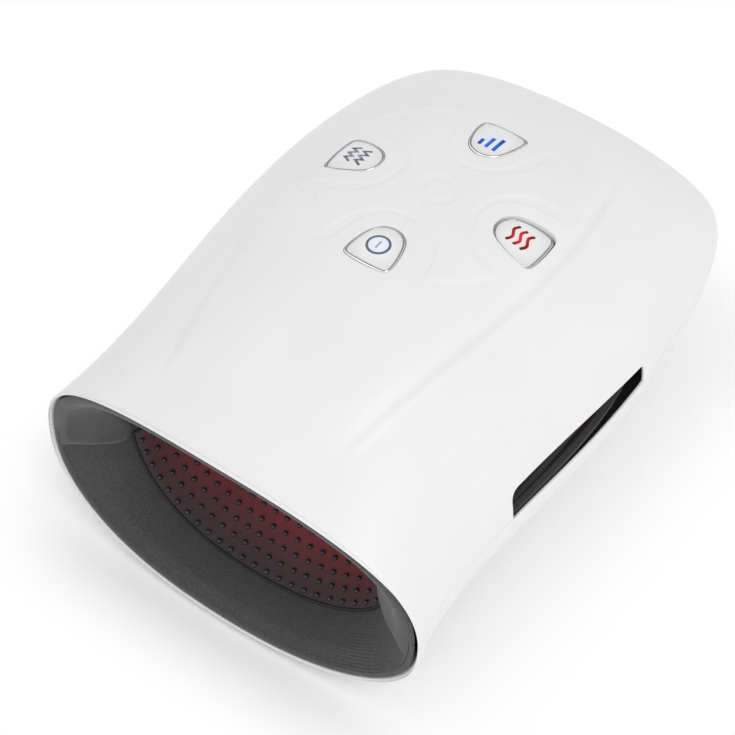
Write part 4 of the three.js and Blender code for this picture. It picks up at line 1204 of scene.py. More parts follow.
def even_fill(half, inset, spacing):
    """Points spread evenly over a half, laid out in plan, from the sides and from the end."""
    step, row = 0.02, spacing * 0.866
    heights = np.arange(2, 114, row)

    def gentle(here, axis, *moved):
        """Which points lie where the surface leans by less than 45 degrees."""
        return np.all([np.abs(spot[:, axis] - here[:, axis]) < step for spot in moved], axis=0)

    u, v = np.meshgrid(np.arange(-90, 90, spacing), np.arange(-118, 118, row), indexing="ij")
    x, y = (u + spacing / 2 * (np.arange(u.shape[1]) % 2)).ravel(), v.ravel()
    within = np.abs(x) < half.half(np.clip(share_at(y), 0, 1), inset) - 0.3
    x, y = x[within], y[within]
    here = half.over(x, y, inset)
    aside, ahead = half.over(x + step, y, inset), half.over(x, y + step, inset)
    slope = np.hypot(aside[:, 2] - here[:, 2], ahead[:, 2] - here[:, 2])
    spots = [here[slope < 1.15 * step]]

    y, z = (a.ravel() for a in np.meshgrid(np.arange(-118, 118, spacing), heights))
    high = half.way * (z - seam_height(share_at(y)))
    within = (high > 0.3) & (high < half.rise(np.clip(share_at(y), 0, 1), inset) - 0.3)
    y, z = y[within], z[within]
    here = half.beside(1, y, z, inset)
    good = gentle(here, 0, half.beside(1, y + step, z, inset), half.beside(1, y, z + step, inset))
    spots += [here[good], here[good] * [-1, 1, 1]]

    x, z = (a.ravel() for a in np.meshgrid(np.arange(-80, 80, spacing), heights))
    within = half.way * (z - seam_height(1.0)) > 0.3
    x, z = x[within], z[within]
    here = half.behind(x, z, inset)
    good = gentle(here, 1, half.behind(x + step, z, inset), half.behind(x, z + step, inset))
    spots.append(here[good & (here[:, 1] > 90)])
    return np.concatenate(spots)


def dense_relief():
    """Points close together where the roof's moulded pattern and its creases rise and fall."""
    x, y = np.meshgrid(np.arange(-56, 56, 0.55), np.arange(-38, 74, 0.48))
    x, y = (x + 0.275 * (np.arange(x.shape[0]) % 2)[:, None]).ravel(), y.ravel()
    band = (np.abs(outer_leaf(x, y)) < 1.3) | (np.abs(inner_leaf(x, y)) < 1.3)
    for edge in CENTRE_RING:
        band |= np.abs(np.hypot(x, y - PATTERN_Y) - edge) < 1.0
    spots = [(x[band], y[band])]
    aside, y = np.meshgrid(np.arange(-10.5, 6.2, 0.7), np.arange(-112, 86, 1.7))
    spots += [((side * (crease_line(side, y) + aside)).ravel(), y.ravel()) for side in (1, -1)]
    return [ROOF.over(*spot) for spot in spots]


def thinner_lip(x, y, z):
    """How far the inner face of a shell moves towards the outer one near its openings."""
    return -np.maximum(lip_thinning(mouth_distance(x, y)), slot_thinning(y, z) * (np.abs(x) > 45))


def clear_of(loops, spots, way):
    """Which points lie between the outer loop and the openings."""
    flat = spread_flat(spots, way)
    good = inside(flat, spread_flat(loops[0][-1][0], way))
    for rows in loops[1:]:
        good &= ~inside(flat, spread_flat(rows[-1][0], way))
    return good


def shell_face(half, inset, loops, spacing, lift=None, sink=1.0, pattern=()):
    """One face of a shell, from rows round its openings and points spread between them.

    Pattern lists the points to put in first, each time with the room to keep between them.
    """
    keeper = KeepClear(np.concatenate([rows[-1][0] for rows in loops]))
    fill = [keeper.keep(spots, room) for spots, room in pattern]
    plain = even_fill(half, inset, spacing)
    fill.append(keeper.keep(plain[clear_of(loops, plain, half.way)], spacing / 2))
    return skin(half.way, loops, np.concatenate(fill), lift, sink)


def wall_between(outer_face, inner_face, count):
    """Both faces of a shell, joined along the first loops of rows that they share."""
    (outer, faces, rows), (inner, inner_faces, inner_rows) = outer_face, inner_face
    shift = len(outer)
    inner_rows = [row + shift for row in inner_rows]
    faces = faces + [[i + shift for i in face] for face in inner_faces]
    for first, second in zip(rows[:count], inner_rows):
        faces += strip(first, second)
    return np.concatenate([outer, inner]), faces, rows[count:], inner_rows[count:]


def openings(half, inset, outlines, radius):
    """Rows round each of the openings in plan."""
    return [hole_rows(lambda x, y: half.over(x, y, inset), outline, radius) for outline in outlines]


def boss_feet(half):
    """The rings in which the screw bosses stand on the inner face of a shell."""
    return [[(half.over(*circle(x, y, BOSS_RADIUS)(0), WALL), 0.0)] for x, y in BOSSES]


def boss_column(points, faces, last, spot, steps):
    """Adds the rings of a screw boss after a row. Gives all the points and its last ring."""
    for radius, height in steps:
        fresh = np.arange(BOSS_SIDES) + len(points)
        points = np.concatenate([points, ring_loop(radius, *spot, height, BOSS_SIDES)])
        faces.extend(strip(last, fresh))
        last = fresh
    return points, last


def add_upper_shell():
    def loops(inset, radii, hole):
        turns = BUTTON_TURNS.values()
        outlines = [lambda growth, turn=turn: fan(CAP_OPENING + growth, turn, 110) for turn in turns]
        edge = edge_rows(ROOF, inset, radii, slots=True)
        return [edge] + openings(ROOF, inset, outlines, hole)

    pattern = zip(dense_relief(), (0.42, 0.5, 0.5))
    outer_loops = loops(0.0, UPPER_EDGES["outer"], 0.3)
    outer = shell_face(ROOF, 0.0, outer_loops, 1.9, relief, pattern=pattern)
    inner_loops = loops(WALL, UPPER_EDGES["inner"], 0.2) + boss_feet(ROOF)
    inner = shell_face(ROOF, WALL, inner_loops, 3.2, thinner_lip, -1.0)
    points, faces, _, feet = wall_between(outer, inner, len(outer_loops))
    for (x, y), row in zip(BOSSES, feet):
        low = seam_height(share_at(y)) + 2 * CLEARANCE
        steps = (BOSS_RADIUS, low), (PILOT_RADIUS, low), (PILOT_RADIUS, low + SCREW_REACH)
        points, last = boss_column(points, faces, row, (x, y), steps)
        faces.append(tuple(last))
    made = piece("upper_shell_skin", points, orient(points, faces), FINISHES["shell"], crisp=50)
    settle(made, "upper_shell")


def add_lower_shell():
    def loops(inset, radii, hole):
        port = hole_rows(lambda x, z: BELLY.behind(x, z, inset), port_outline, hole)
        return [edge_rows(BELLY, inset, radii, CLEARANCE), port]

    wells = [circle(x, y, WELL_RADIUS) for x, y in BOSSES]
    outer_loops = loops(0.0, LOWER_EDGES["outer"], 0.5) + openings(BELLY, 0.0, wells, 0.5)
    outer = shell_face(BELLY, 0.0, outer_loops, 2.0)
    inner_loops = loops(WALL, LOWER_EDGES["inner"], 0.3) + boss_feet(BELLY)
    inner = shell_face(BELLY, WALL, inner_loops, 3.4, thinner_lip, -1.0)
    points, faces, mouths, feet = wall_between(outer, inner, 2)
    for (x, y), mouth, foot in zip(BOSSES, mouths, feet):
        seam = seam_height(share_at(y))
        seat, high = seam - SCREW_REACH - SEAT_GAP, seam - 2 * CLEARANCE
        steps = (WELL_RADIUS, seat), (PILOT_RADIUS, seat), (PILOT_RADIUS, high), (BOSS_RADIUS, high)
        points, last = boss_column(points, faces, mouth, (x, y), steps)
        faces += strip(last, foot)
    made = piece("lower_shell_skin", points, orient(points, faces), FINISHES["shell"], crisp=50)
    settle(made, "lower_shell")


add_upper_shell()
add_lower_shell()


# Lining of the hand cavity.

# The cavity is pinched in the middle of its length and narrows towards its closed end.
PINCH, PINCH_DEPTH, PINCH_REACH = 15.5, 30, 24
NARROWING, NARROWING_START = 16.0, 0.79
LINING_FRONT = 1.3
LINING_OVERLAP = 20.0
SLOT_HEM = 1.2
HEM_RADIUS = 1.35

# The pad round the mouth: its width over the crown and what the corners add to it, how far it
# hangs below the seam, its rounded corner and edge, and how far it swells and is set back.
PAD_WIDTH, PAD_CORNER_WIDTH = 6.5, 10.5
PAD_HANG, PAD_HANG_RIGHT = 6.5, 1.2
PAD_ROUND, PAD_EDGE, PAD_FRONT_RADIUS = 7.0, 4.6, 1.6
PAD_SWELL, PAD_CORNER_SWELL = 1.9, 5.4
PAD_SETBACK, PAD_SETBACK_REACH = 0.9, 6.5
CORNER_RISE = (6, 26)

MAT_NARROWING, MAT_NARROWS = 34, (40, 26)
MAT_FACE = 1.35
MAT_CORD_RADIUS = 0.58
NUB_PITCH = 5.6
NUB_RADIUS = 1.2
NUB_HEIGHT = 1.05
NUB_BASE = -1.3
UPPER_BAG_OUTSET = 2.8
PALM_BAG_OUTSET = 3.4
BAG_FILM = 0.4
WELD_WIDTH, WELD_SHARE = 2.2, 0.45


def cavity_section(share, outset):
    """The share of the body, the seam, the half width and the rises at a share of the cavity."""
    deep = share * CAVITY_DEPTH
    body = (LIP_DEPTH + deep) / BODY_LENGTH
    seam = seam_height(body)
    pinch = PINCH * np.exp(-(((deep - PINCH_DEPTH) / PINCH_REACH) ** 4))
    narrowing = NARROWING * smooth((share - NARROWING_START) / (1 - NARROWING_START))
    gap = WALL + CLEARANCE + LINER
    mouth_top = roof_height(0.0) - gap
    top = CAVITY_TOP + (mouth_top - CAVITY_TOP) * np.exp(-((deep / 16) ** 2))
    floor = lerp(BELLY_HEIGHT + gap, CAVITY_FLOOR, smooth((deep - 16) / 30))
    closing = end_round(share, 3.0)
    half = (half_width(body) - gap - pinch - narrowing + outset) * closing
    return body, seam, half, (top - seam + outset) * closing, (seam - floor + outset) * closing


def cavity_point(share, place, outset=0.0):
    """A point of the cavity's surface, moved outwards; places run round from the right side."""
    angle = np.radians(place)
    body, seam, half, up, down = cavity_section(share, outset)
    sine, cosine = np.sin(angle), np.cos(angle)
    power = 2 / np.where(sine >= 0, lerp(*ROOF_ROUND, body), lerp(*BELLY_ROUND, body))
    across = np.sign(cosine) * np.abs(cosine) ** power
    z = seam + np.where(sine >= 0, up, down) * np.sign(sine) * np.abs(sine) ** power
    y = MOUTH_Y + LIP_DEPTH + share * (CAVITY_DEPTH + outset) + MOUTH_BOW * (1 - body) ** 2 * across**2
    return np.stack([half * across, y, z], -1)


def lengths_over(grid, axis):
    """How far along one way of a grid of points each of them lies."""
    lengths = np.cumsum(np.linalg.norm(np.diff(grid, axis=axis), axis=-1), axis)
    return np.concatenate([np.zeros_like(lengths.take([0], axis)), lengths], axis)


def layer(name, shares, places, inner, outer, finish, crisp=55, spread=None):
    """A layer of the lining between two outsets, which are functions of share and place."""
    s, p = np.meshgrid(shares, places, indexing="ij")
    if spread is not None:
        p = spread(s, p)
    near, far = cavity_point(s, p, inner(s, p)), cavity_point(s, p, outer(s, p))
    rows, columns = s.shape
    points = np.concatenate([near.reshape(-1, 3), far.reshape(-1, 3)])
    index = np.arange(rows * columns).reshape(rows, columns)
    faces = []
    for first, second in zip(index, index[1:]):
        faces += strip(first, second, False)
        faces += strip(first + rows * columns, second + rows * columns, False)
    rim = np.concatenate([index[0, :], index[1:, -1], index[-1, ::-1][1:], index[::-1, 0][1:-1]])
    faces += strip(rim, rim + rows * columns)
    u, v = lengths_over(near, 1), lengths_over(near, 0)
    u = u - u[:, columns // 2][:, None]
    uv = np.stack([u.ravel(), v.ravel()], -1)
    return piece(name, points, orient(points, faces), finish, uv=np.concatenate([uv, uv]), crisp=crisp)


def at_corner(high):
    """One at the corners of the mouth, falling to zero towards its crown."""
    return 1 - ramp(high, *CORNER_RISE)


def pad_edge(depth, high):
    """How far inside the outline of the padded front of the upper lining a point lies.

    The pad runs round the mouth, deep at both corners and slim over the crown, and its lower
    edge hangs over the lower lining.
    """
    across, below = PAD_WIDTH + PAD_CORNER_WIDTH * at_corner(high) - depth, high + PAD_HANG
    cut = np.hypot(np.maximum(PAD_ROUND - across, 0), np.maximum(PAD_ROUND - below, 0))
    in_corner = (across < PAD_ROUND) & (below < PAD_ROUND)
    return np.where(in_corner, PAD_ROUND - cut, np.minimum(across, below))


def mat_reach(share):
    """How far the mat reaches up both sides of the cavity, in degrees: less below the slots."""
    return MAT_DEGREES / 2 - MAT_NARROWING * ramp(share * CAVITY_DEPTH, *MAT_NARROWS)


def sewn_cord(name, centre, across, radius, sides, finish):
    """A soft cord along a closed path, with a direction across it at each of its points."""
    other = unit(np.cross(np.roll(centre, -1, 0) - np.roll(centre, 1, 0), across))
    cosine, sine = np.cos(full_turn(sides))[:, None], np.sin(full_turn(sides))[:, None]
    loops = [c + radius * (cosine * a + sine * b) for c, a, b in zip(centre, across, other)]
    cord = loft(name, loops, FINISHES[finish], ring=True, crisp=80)
    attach(cord, "case")


def slot_hem(side, margin, outset):
    """The points of the lining's surface along the outline of a thumb slot."""
    y, z = slot_outline(margin, -2.0).T
    share = (y - MOUTH_Y - LIP_DEPTH) / CAVITY_DEPTH
    for _ in range(12):
        body, seam, half, up, down = cavity_section(share, outset)
        high = np.clip(np.abs(z - seam) / np.where(z > seam, up, down), 0, 1)
        power = np.where(z > seam, lerp(*ROOF_ROUND, body), lerp(*BELLY_ROUND, body))
        across = (1 - high**power) ** (1 / power)
        bow = MOUTH_BOW * (1 - body) ** 2 * across**2
        share = (y - MOUTH_Y - LIP_DEPTH - bow) / (CAVITY_DEPTH + outset)
    return np.stack([side * half * across, y, z], -1)


def cut_slots(lining):
    """Opens the upper lining behind both thumb slots and binds the edges of the openings."""
    y, z = slot_outline(SLOT_HEM, -14.0).T
    cutters = []
    for side in (1, -1):
        loops = [np.stack([np.full(y.shape, side * x), y, z], -1) for x in (35.0, 110.0)]
        cutter = loft("slot_cutter", loops, FINISHES["binding"])
        bite = lining.modifiers.new("slot", "BOOLEAN")
        bite.operation, bite.solver, bite.object = "DIFFERENCE", "EXACT", cutter
        cutters.append(cutter)
    shape = lining.evaluated_get(bpy.context.evaluated_depsgraph_get())
    mesh = bpy.data.meshes.new_from_object(shape)
    lining.modifiers.clear()
    lining.data = mesh
    while len(mesh.materials) > 1:
        mesh.materials.pop()
    for cutter in cutters:
        bpy.data.objects.remove(cutter)
    for side, word in ((1, "right"), (-1, "left")):
        path = slot_hem(side, SLOT_HEM, 1.3)
        path = np.concatenate([path, np.linspace(path[-1], path[0], 60)[1:]])
        path = even(path, 260)[:-1]
        across = unit(np.cross(np.roll(path, -1, 0) - np.roll(path, 1, 0), [1.0, 0, 0]))
        sewn_cord("slot_binding_" + word, path, across, HEM_RADIUS, 12, "upper knit")


def lining_height(share, place):
    """How high above the seam the lining's surface lies."""
    turn = np.where(place > 270, place - 360, place)
    sine = np.sin(np.radians(np.where(turn > 90, 180 - turn, turn)))
    _, _, _, up, down = cavity_section(np.maximum(share, 0), 0)
    return np.where(sine >= 0, up, down) * np.sign(sine) * np.abs(sine) ** 0.85


def flare(share, place):
    """How far the lining follows the thinner edges of the shells outwards."""
    _, y, z = np.moveaxis(cavity_point(share, place), -1, 0)
    side = ramp(np.abs(np.cos(np.radians(place))), 0.5, 0.2)
    return np.maximum(lip_thinning(share * CAVITY_DEPTH + LIP_DEPTH), 0.8 * slot_thinning(y, z) * side)


def pad_face(share, place):
    """The inner face of the upper lining, swelling inwards at the pad round the mouth."""
    depth, high = share * CAVITY_DEPTH + LINING_FRONT, lining_height(share, place)
    lower_on_right = np.where(np.cos(np.radians(place)) > 0, PAD_HANG_RIGHT, 0.0)
    inward = np.clip(pad_edge(depth, high + lower_on_right) / PAD_EDGE, 0, 1)
    full = PAD_SWELL + PAD_CORNER_SWELL * at_corner(high)
    swell = full * np.sqrt(np.maximum(1 - (1 - inward) ** 2, 0))
    setback = PAD_SETBACK * (full / 2 - 1) * (1 - smooth(depth / PAD_SETBACK_REACH))
    return -swell + (rounded(depth, PAD_FRONT_RADIUS) + setback) + flare(share, place)


def add_lining():
    fine = np.concatenate([np.linspace(-LINING_FRONT, 2.2, 18), np.linspace(2.8, 24, 48)])
    rest = np.sin(np.linspace(math.asin(25.0 / CAVITY_DEPTH), np.pi / 2, 90))
    shares = np.concatenate([fine / CAVITY_DEPTH, rest])
    shares[-1] = 1 - 3e-7

    def back(s, p):
        depth, high = s * CAVITY_DEPTH + LINING_FRONT, lining_height(s, p)
        behind = lerp(-0.12, LINER, smooth((high + 0.05) / 0.1))
        return behind - rounded(depth, 0.4) * (high > 0) + flare(s, p)

    def upper_inner(s, p):
        return np.minimum(pad_face(s, p), back(s, p) - 0.3)

    places = np.concatenate([
        np.linspace(-LINING_OVERLAP, 0, 30)[:-1],
        np.linspace(0, 180, 230),
        np.linspace(180, 180 + LINING_OVERLAP, 30)[1:],
    ])
    upper = layer("upper_liner_fabric", shares, places, upper_inner, back, FINISHES["upper knit"])
    cut_slots(upper)
    settle(upper, "upper_liner")

    def lower_inner(s, p):
        return rounded(s * CAVITY_DEPTH + LINING_FRONT, 1.0) + flare(s, p)

    def lower_outer(s, p):
        return LINER - rounded(s * CAVITY_DEPTH + LINING_FRONT, 0.4) + flare(s, p)

    places = np.linspace(180, 360, 240)
    lower = layer("lower_liner_fabric", shares, places, lower_inner, lower_outer, FINISHES["lower knit"])
    settle(lower, "lower_liner")


def add_mat():
    """The mat on the cavity's floor; its places are shares of how far it reaches."""
    low, high = MAT_SHARES
    shares = np.sin(np.linspace(math.asin(low), math.asin(high), 120))

    def face(s, p):
        edge = np.minimum((s - low) * CAVITY_DEPTH, (high - s) * CAVITY_DEPTH)
        side = (mat_reach(s) - np.abs(p - 270)) * 0.9
        return rounded(np.minimum(edge, side), 0.8) - MAT_FACE

    def foot(s, p):
        return np.full(s.shape, -0.15)

    def spread(s, p):
        return 270 + mat_reach(s) * p

    places = np.linspace(-1, 1, 160)
    mat = layer("nub_mat_fabric", shares, places, face, foot, FINISHES["mat"], spread=spread)
    settle(mat, "nub_mat")


def add_binding():
    """The dark cord sewn round the edge of the mat."""
    low, high = MAT_SHARES
    corners = [(low, -1), (low, 1), (high, 1), (high, -1)]
    path = []
    for start, end, count in zip(corners, corners[1:] + corners[:1], (150, 90, 60, 90)):
        path.append(np.linspace(start, end, count, endpoint=False))
    share, place = np.concatenate(path).T
    place = 270 + mat_reach(share) * place
    centre = cavity_point(share, place, -0.62)
    inward = unit(cavity_point(share, place, -1.62) - centre)
    sewn_cord("nub_mat_binding", centre, inward, MAT_CORD_RADIUS, 10, "binding")


def dome(value, low, high):
    """One in the middle of a span, falling to zero at both of its ends."""
    return np.clip(1 - (2 * (value - low) / (high - low) - 1) ** 4, 0, 1)


def add_airbag(node, shares, places, outset, depth, welds):
    """A flat bag of welded film with air in it: a flanged rim, full cells and weld lines."""
    def fullness(s, p):
        swell = dome(s, *shares) * dome(p, *places)
        weld = 0.0
        for at in welds:
            weld = weld + np.exp(-(((s - at) * CAVITY_DEPTH / WELD_WIDTH) ** 2)) * smooth(swell * 2)
        deep = depth(s) if callable(depth) else depth
        cells = 1 - WELD_SHARE * np.minimum(weld, 1)
        return deep * lerp(0.3, 1, swell) * cells * smooth(0.25 + swell * 6)

    def near(s, p):
        return np.full(s.shape, outset + 0.05)

    def far(s, p):
        return outset + BAG_FILM + np.maximum(fullness(s, p) - 0.45, 0)

    rows, columns = np.linspace(*shares, 90), np.linspace(*places, 110)
    bag = layer(node + "_bag", rows, columns, near, far, FINISHES["bag"], 60)
    settle(bag, node)


def add_airbags():
    above, below = ((middle - BAG_DEGREES / 2, middle + BAG_DEGREES / 2) for middle in (90, 270))
    hand, finger = (BAG_SHARES[0], BAG_SPLIT[0]), (BAG_SPLIT[1], BAG_SHARES[1])
    add_airbag("hand_airbag", hand, above, UPPER_BAG_OUTSET, 5.0, (0.28, 0.39))
    add_airbag("finger_airbag", finger, above, UPPER_BAG_OUTSET, 5.0, (0.66,))

    def room(share):
        """The height left between the floor of the cavity and the lower shell."""
        _, seam, _, _, down = cavity_section(share, 0)
        return seam - down - BELLY_HEIGHT - WALL - PALM_BAG_OUTSET - 0.9

    add_airbag("palm_airbag", BAG_SHARES, below, PALM_BAG_OUTSET, room, (0.33, 0.49, 0.65))


def nub_tree():
    """Geometry nodes that set a small dome on every vertex, along its stored direction."""
    tree = bpy.data.node_groups.new("nubs", "GeometryNodeTree")
    face = tree.interface
    face.new_socket("Geometry", in_out="INPUT", socket_type="NodeSocketGeometry")
    inputs = {}
    for name, kind in (("Radius", "Float"), ("Height", "Float"), ("Finish", "Material")):
        socket = face.new_socket(name, in_out="INPUT", socket_type="NodeSocket" + kind)
        inputs[name] = socket.identifier
    face.new_socket("Geometry", in_out="OUTPUT", socket_type="NodeSocketGeometry")

    nodes = Nodes(tree)

    def add(kind, sockets, **settings):
        return nodes.out(nodes.node(kind, settings, sockets))

    source, result = nodes.node("NodeGroupInput"), nodes.node("NodeGroupOutput")
    spots, radius, height, coat = (nodes.out(source, name) for name in ("Geometry", *inputs))
    ball = add("GeometryNodeMeshIcoSphere", {"Subdivisions": 2, "Radius": radius})
    scale = add("ShaderNodeCombineXYZ", {0: 1, 1: 1, 2: height / radius})
    dome = add("GeometryNodeTransform", {"Geometry": ball, "Scale": scale})
    facing = nodes.node("GeometryNodeInputNamedAttribute", {"data_type": "FLOAT_VECTOR"}, {"Name": "facing"})
    facing = nodes.out(facing, "Attribute")
    turn = add("FunctionNodeAlignRotationToVector", {"Vector": facing}, axis="Z")
    stand = add("GeometryNodeInstanceOnPoints", {"Points": spots, "Instance": dome, "Rotation": turn})
    solid = add("GeometryNodeRealizeInstances", {0: stand})
    coated = add("GeometryNodeSetMaterial", {"Geometry": solid, "Material": coat})
    nodes.feed(result.inputs[0], coated)
    return tree, inputs


def nub_row(share, shift):
    """Where the nubs of one row stand on the mat and which way they look."""
    places = np.linspace(271.5 - mat_reach(share), 268.5 + mat_reach(share), 1500)
    length = lengths_along(cavity_point(np.full(places.shape, share), places, NUB_BASE))
    middle = length[-1] / 2
    count = int((middle - 1.5) / NUB_PITCH)
    offsets = (np.arange(-count - 1, count + 2) + shift) * NUB_PITCH
    offsets = offsets[np.abs(offsets) < middle - NUB_RADIUS]
    at = np.interp(middle + offsets, length, places)
    here = np.full(at.shape, share)

    def difference(share_step, place_step):
        ahead = cavity_point(here + share_step, at + place_step, NUB_BASE)
        return ahead - cavity_point(here - share_step, at - place_step, NUB_BASE)

    base = cavity_point(here, at, NUB_BASE)
    normal = unit(np.cross(difference(0, 0.2), difference(0.002, 0)))
    to_middle = (np.array([0, 0, 45.0]) - base) * [1, 0, 1]
    return base, normal * np.sign((to_middle * normal).sum(1, keepdims=True))


def add_nubs():
    first, last = (share * CAVITY_DEPTH for share in MAT_SHARES)
    depths = np.arange(first + 2.2, last - 2, NUB_PITCH * math.sqrt(3) / 2)
    rows = [nub_row(depth / CAVITY_DEPTH, 0.5 * (k % 2)) for k, depth in enumerate(depths)]
    spots, facing = (np.concatenate(part) for part in zip(*rows))
    mesh = bpy.data.meshes.new("nub_places")
    mesh.from_pydata((raked(spots) * MM).tolist(), [], [])
    attribute = mesh.attributes.new("facing", "FLOAT_VECTOR", "POINT")
    attribute.data.foreach_set("vector", facing.astype(np.float32).ravel())
    holder = bpy.data.objects.new("nub_places", mesh)
    bpy.context.scene.collection.objects.link(holder)
    tree, inputs = nub_tree()
    maker = holder.modifiers.new("nubs", "NODES")
    maker.node_group = tree
    maker[inputs["Radius"]] = NUB_RADIUS * MM
    maker[inputs["Height"]] = NUB_HEIGHT * MM
    maker[inputs["Finish"]] = FINISHES["nub"]
    shape = holder.evaluated_get(bpy.context.evaluated_depsgraph_get())
    solid = bpy.data.meshes.new_from_object(shape)
    solid.name = "nubs"
    solid.shade_smooth()
    made = bpy.data.objects.new("nubs", solid)
    bpy.context.scene.collection.objects.link(made)
    bpy.data.objects.remove(holder)
    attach(made, "case")


add_lining()
add_mat()
add_binding()
add_airbags()
add_nubs()


# Buttons.

# How far each cap's painted glow reaches, and the tint of its painted light.
CAP_GLOWS = {
    "power": {"glow": 5.5, "painted_light": (0.84, 0.86, 0.95)},
    "heat": {"glow": 7.5, "painted_light": (0.84, 0.76, 0.76)},
    "intensity": {"glow": 7.5, "painted_light": (0.76, 0.80, 0.90)},
    "mode": {"glow": 7.5, "painted_light": (0.78, 0.79, 0.82)},
}
CAP_RISE, CAP_DOME, CAP_HALF_SIZES = 0.80, 0.78, (10.0, 9.6)
CAP_EDGE = 0.5
CAP_SCALES = (1.0, 0.93, 0.84, 0.74, 0.62, 0.5, 0.37, 0.24, 0.11)
STEM_RADIUS = 2.0
FLANGE_DEPTH, FLANGE_GROWTH, FLANGE_THICKNESS = WALL + 0.6, 1.7, 1.0
# The bezel's shoulder as steps inwards from its outer side and outwards from its inner side,
# each with its height over the roof.
BEZEL_OUTSIDE = ((0, -0.25), (0, 0.0), (0.04, 0.12), (0.12, 0.32), (0.23, 0.52), (0.35, 0.68), (0.46, 0.76))
BEZEL_INSIDE = ((0.12, 0.79), (0.05, 0.76), (0, 0.66))
INK_HEIGHTS = (0.035, 0.035, -0.15, -0.15)


def cap_rise(x, y, turn):
    """How far a cap's domed face stands over the roof."""
    a = math.radians(turn)
    u = x * math.cos(a) + (y - PATTERN_Y) * math.sin(a) - PATTERN_RADIUS
    v = -x * math.sin(a) + (y - PATTERN_Y) * math.cos(a)
    t = np.clip(np.hypot(u / CAP_HALF_SIZES[0], v / CAP_HALF_SIZES[1]), 0, 1)
    return CAP_RISE + CAP_DOME * (1 - t**2.3)


def add_button(name, turn):
    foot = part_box("switch_plunger_" + name)[1].z / MM + CLEARANCE
    above, below = -(FLANGE_DEPTH + CLEARANCE), -(FLANGE_DEPTH + CLEARANCE + FLANGE_THICKNESS)
    angle = math.radians(turn)
    middle = (PATTERN_RADIUS * math.cos(angle), PATTERN_Y + PATTERN_RADIUS * math.sin(angle))
    finish = cap_with_painted_light(name + " cap", middle, **CAP_GLOWS[name])

    def face(x, y, fall=0.0):
        return roof_at(x, y) + cap_rise(x, y, turn) - fall

    loops = [
        ring_loop(STEM_RADIUS, *middle, foot, 96),
        ring_loop(STEM_RADIUS, *middle, lambda x, y: roof_at(x, y) + below, 96),
        on_roof(FLANGE_GROWTH, turn, below),
        on_roof(FLANGE_GROWTH, turn, above),
        on_roof(-CAP_TRIM, turn, above),
    ]
    for a in map(math.radians, (0, 25, 50, 75)):
        growth, fall = -CAP_TRIM - CAP_EDGE * (1 - math.cos(a)), CAP_EDGE * (1 - math.sin(a))
        loops.append(on_roof(growth, turn, lambda x, y: face(x, y, fall)))
    for scale in CAP_SCALES:
        loops.append(on_roof(-CAP_TRIM - CAP_EDGE, turn, face, scale=scale))
    cap = loft("button_" + name + "_cap", loops, finish, crisp=40)
    settle(cap, "button_" + name, name + "_button")

    inner = CAP_GAP - CAP_TRIM
    outer = inner + BEZEL_WIDTH
    profile = [(outer, -FLANGE_DEPTH)]
    profile += [(outer - step, rise) for step, rise in BEZEL_OUTSIDE]
    profile += [(inner + step, rise) for step, rise in BEZEL_INSIDE]
    profile += [(inner, -FLANGE_DEPTH)]
    loops = [on_roof(growth, turn, rise) for growth, rise in profile]
    bezel = loft("bezel_" + name + "_rim", loops, FINISHES["chrome"], ring=True, crisp=50)
    settle(bezel, "bezel_" + name)


def line_on_cap(name, path, width, finish, turn, closed=False, ends="round"):
    """A printed line on a cap: a flat ribbon along a path of X and Y that lies on its face."""
    path = np.asarray(path, float)
    if len(path) < 10:
        runs = [np.linspace(a, b, 6, endpoint=False) for a, b in zip(path, path[1:])]
        path = np.concatenate(runs + [path[-1:]])
    if closed:
        ahead, behind = np.roll(path, -1, 0) - path, path - np.roll(path, 1, 0)
    else:
        steps = np.diff(path, axis=0)
        ahead, behind = np.concatenate([steps, steps[-1:]]), np.concatenate([steps[:1], steps])
    ahead, behind = unit(ahead), unit(behind)
    normal = unit((ahead + behind)[:, ::-1] * [-1, 1])
    square = ahead[:, ::-1] * [-1, 1]
    mitre = 1 / np.maximum((normal * square).sum(1), 0.45)
    half = np.full(len(path), width / 2)
    if ends == "round" and not closed:
        along = lengths_along(path)
        near = np.minimum(along, along[-1] - along)
        half = np.sqrt(np.maximum(half**2 - np.maximum(half - near, 0) ** 2, 0.0004))
    aside = normal * (half * mitre)[:, None]
    loops = []
    for a, b in zip(path + aside, path - aside):
        x, y = np.array([a, b, b, a]).T
        loops.append(np.stack([x, y, roof_at(x, y) + cap_rise(x, y, turn) + np.array(INK_HEIGHTS)], -1))
    return loft(name, loops, finish, ring=closed, crisp=30)


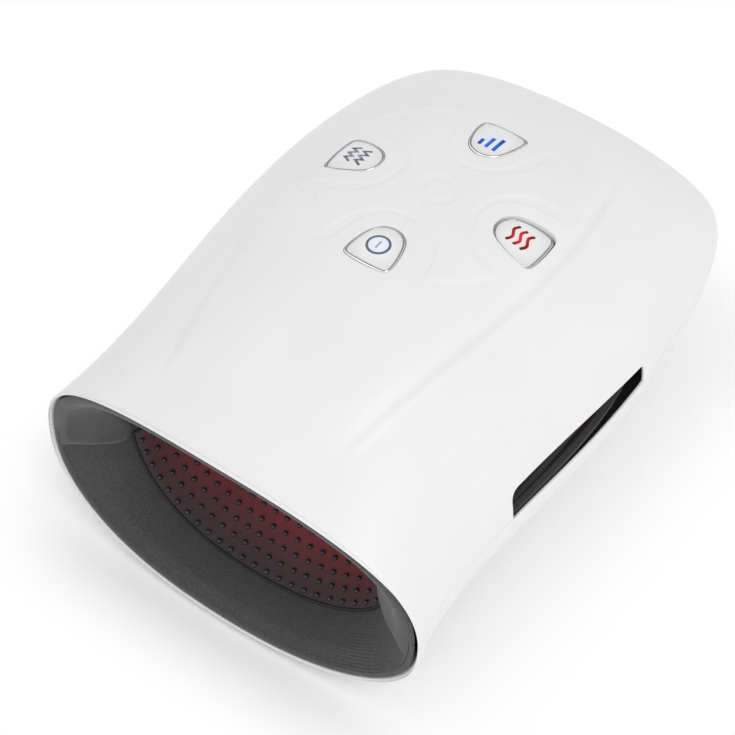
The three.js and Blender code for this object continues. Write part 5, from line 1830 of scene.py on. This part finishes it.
def add_signs():
    """The printed signs: ring and bar, heat waves, rising bars and zigzags."""
    def put(made, button):
        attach(made, button + "_button")

    def put_line(button, name, path, width, finish, **shape):
        name = f"sign_{button}_{name}"
        put(line_on_cap(name, path, width, finish, BUTTON_TURNS[button], **shape), button)

    x, y = 0.0, PATTERN_Y - PATTERN_RADIUS + 0.55
    ring = ink_with_painted_glow("slate ring ink", (84, 98, 114), (96, 112, 128), (x, y), 9.0)
    bar = ink_with_painted_glow("pale bar ink", (150, 160, 175), (172, 180, 194), (x, y), 3.0)
    pale = ink_with_painted_glow("lit window", (226, 230, 246), (243, 246, 255), (x, y), 4.6)
    rows = []
    for radius, sink in ((3.9, -0.12), (3.9, 0.012), (2.8, 0.012), (1.4, 0.012), (0.2, 0.012)):
        px, py = round_path(x, y, radius, 64).T
        height = roof_at(px, py) + cap_rise(px, py, BUTTON_TURNS["power"]) + sink
        rows.append(np.stack([px, py, height], -1))
    put(loft("sign_power_window", rows, pale, crisp=30), "power")
    put_line("power", "ring", round_path(x, y, 4.15, 64), 0.95, ring, closed=True)
    put_line("power", "bar", np.linspace([x, y - 1.9], [x, y + 1.9], 24), 0.9, bar)

    x, y = 35.8, PATTERN_Y + 0.1
    red = ink_with_painted_glow("red wave ink", (92, 16, 22), (225, 35, 40), (x, y), 5.4)
    t = np.linspace(0, 1, 60)
    swing = 0.66 * np.sin(2 * np.pi * (1.28 * t - 0.134))
    for k, offset in enumerate((-3.1, 0.0, 3.0)):
        wave = np.stack([x + offset - swing, y + 4.375 - 8.75 * t], -1)
        put_line("heat", f"wave_{k + 1}", wave, 1.15, red)

    blue = ink_with_painted_glow("blue bar ink", (14, 52, 120), (30, 116, 225), (0.9, 50.2), 6.0)
    for k, (x, top) in enumerate(((-2.9, 51.15), (0.15, 53.9), (3.35, 55.5))):
        bar_path = np.linspace([x, 47.65], [x, top], 12)
        put_line("intensity", f"bar_{k + 1}", bar_path, 1.45, blue, ends="flat")

    slate = ink_with_painted_glow("slate zigzag ink", (66, 72, 80), (150, 158, 170), (-36.6, 17.6), 6.4)
    zigzag = np.array([
        (-37.2, 22.2), (-40.45, 21.1), (-37.3, 19.45), (-40.45, 18.2),
        (-37.45, 16.45), (-40.3, 15.45), (-36.95, 13.45),
    ])
    for k, offset in enumerate(((0.0, 0.0), (5.0, -0.5))):
        put_line("mode", f"zigzag_{k + 1}", zigzag + offset, 0.95, slate, ends="flat")


for button, turn in BUTTON_TURNS.items():
    add_button(button, turn)
add_signs()


# Carried-over pieces.

CARRIED = {
    "frame": ("upper_frame", "rear_tray", "valve_block"),
    "board": ("main_board", "port_board"),
    "switch": ("controller_chip", *("switch_" + button for button in BUTTON_TURNS)),
    "plunger": tuple("switch_plunger_" + button for button in BUTTON_TURNS),
    "cell": ("battery_pack",),
    "film": ("heating_film",),
    "steel": ("charge_port", "pump_motor", "valve_plunger_1", "valve_plunger_2",
              *(f"case_screw_{i}" for i in (1, 2, 3, 4))),
    "brass": ("pump_rotor",),
    "pump": ("pump_housing", "pump_head", "valve_coil_1", "valve_coil_2"),
    "diaphragm": ("pump_diaphragm",),
    "foam": ("pump_cradle",),
    "hose": ("hose_pump", "hose_upper", "hose_palm"),
    "foot": tuple(f"foot_{i}" for i in (1, 2, 3, 4)),
}
for finish, nodes in CARRIED.items():
    for node in nodes:
        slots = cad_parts[node].data.materials
        slots.clear()
        slots.append(FINISHES[finish])
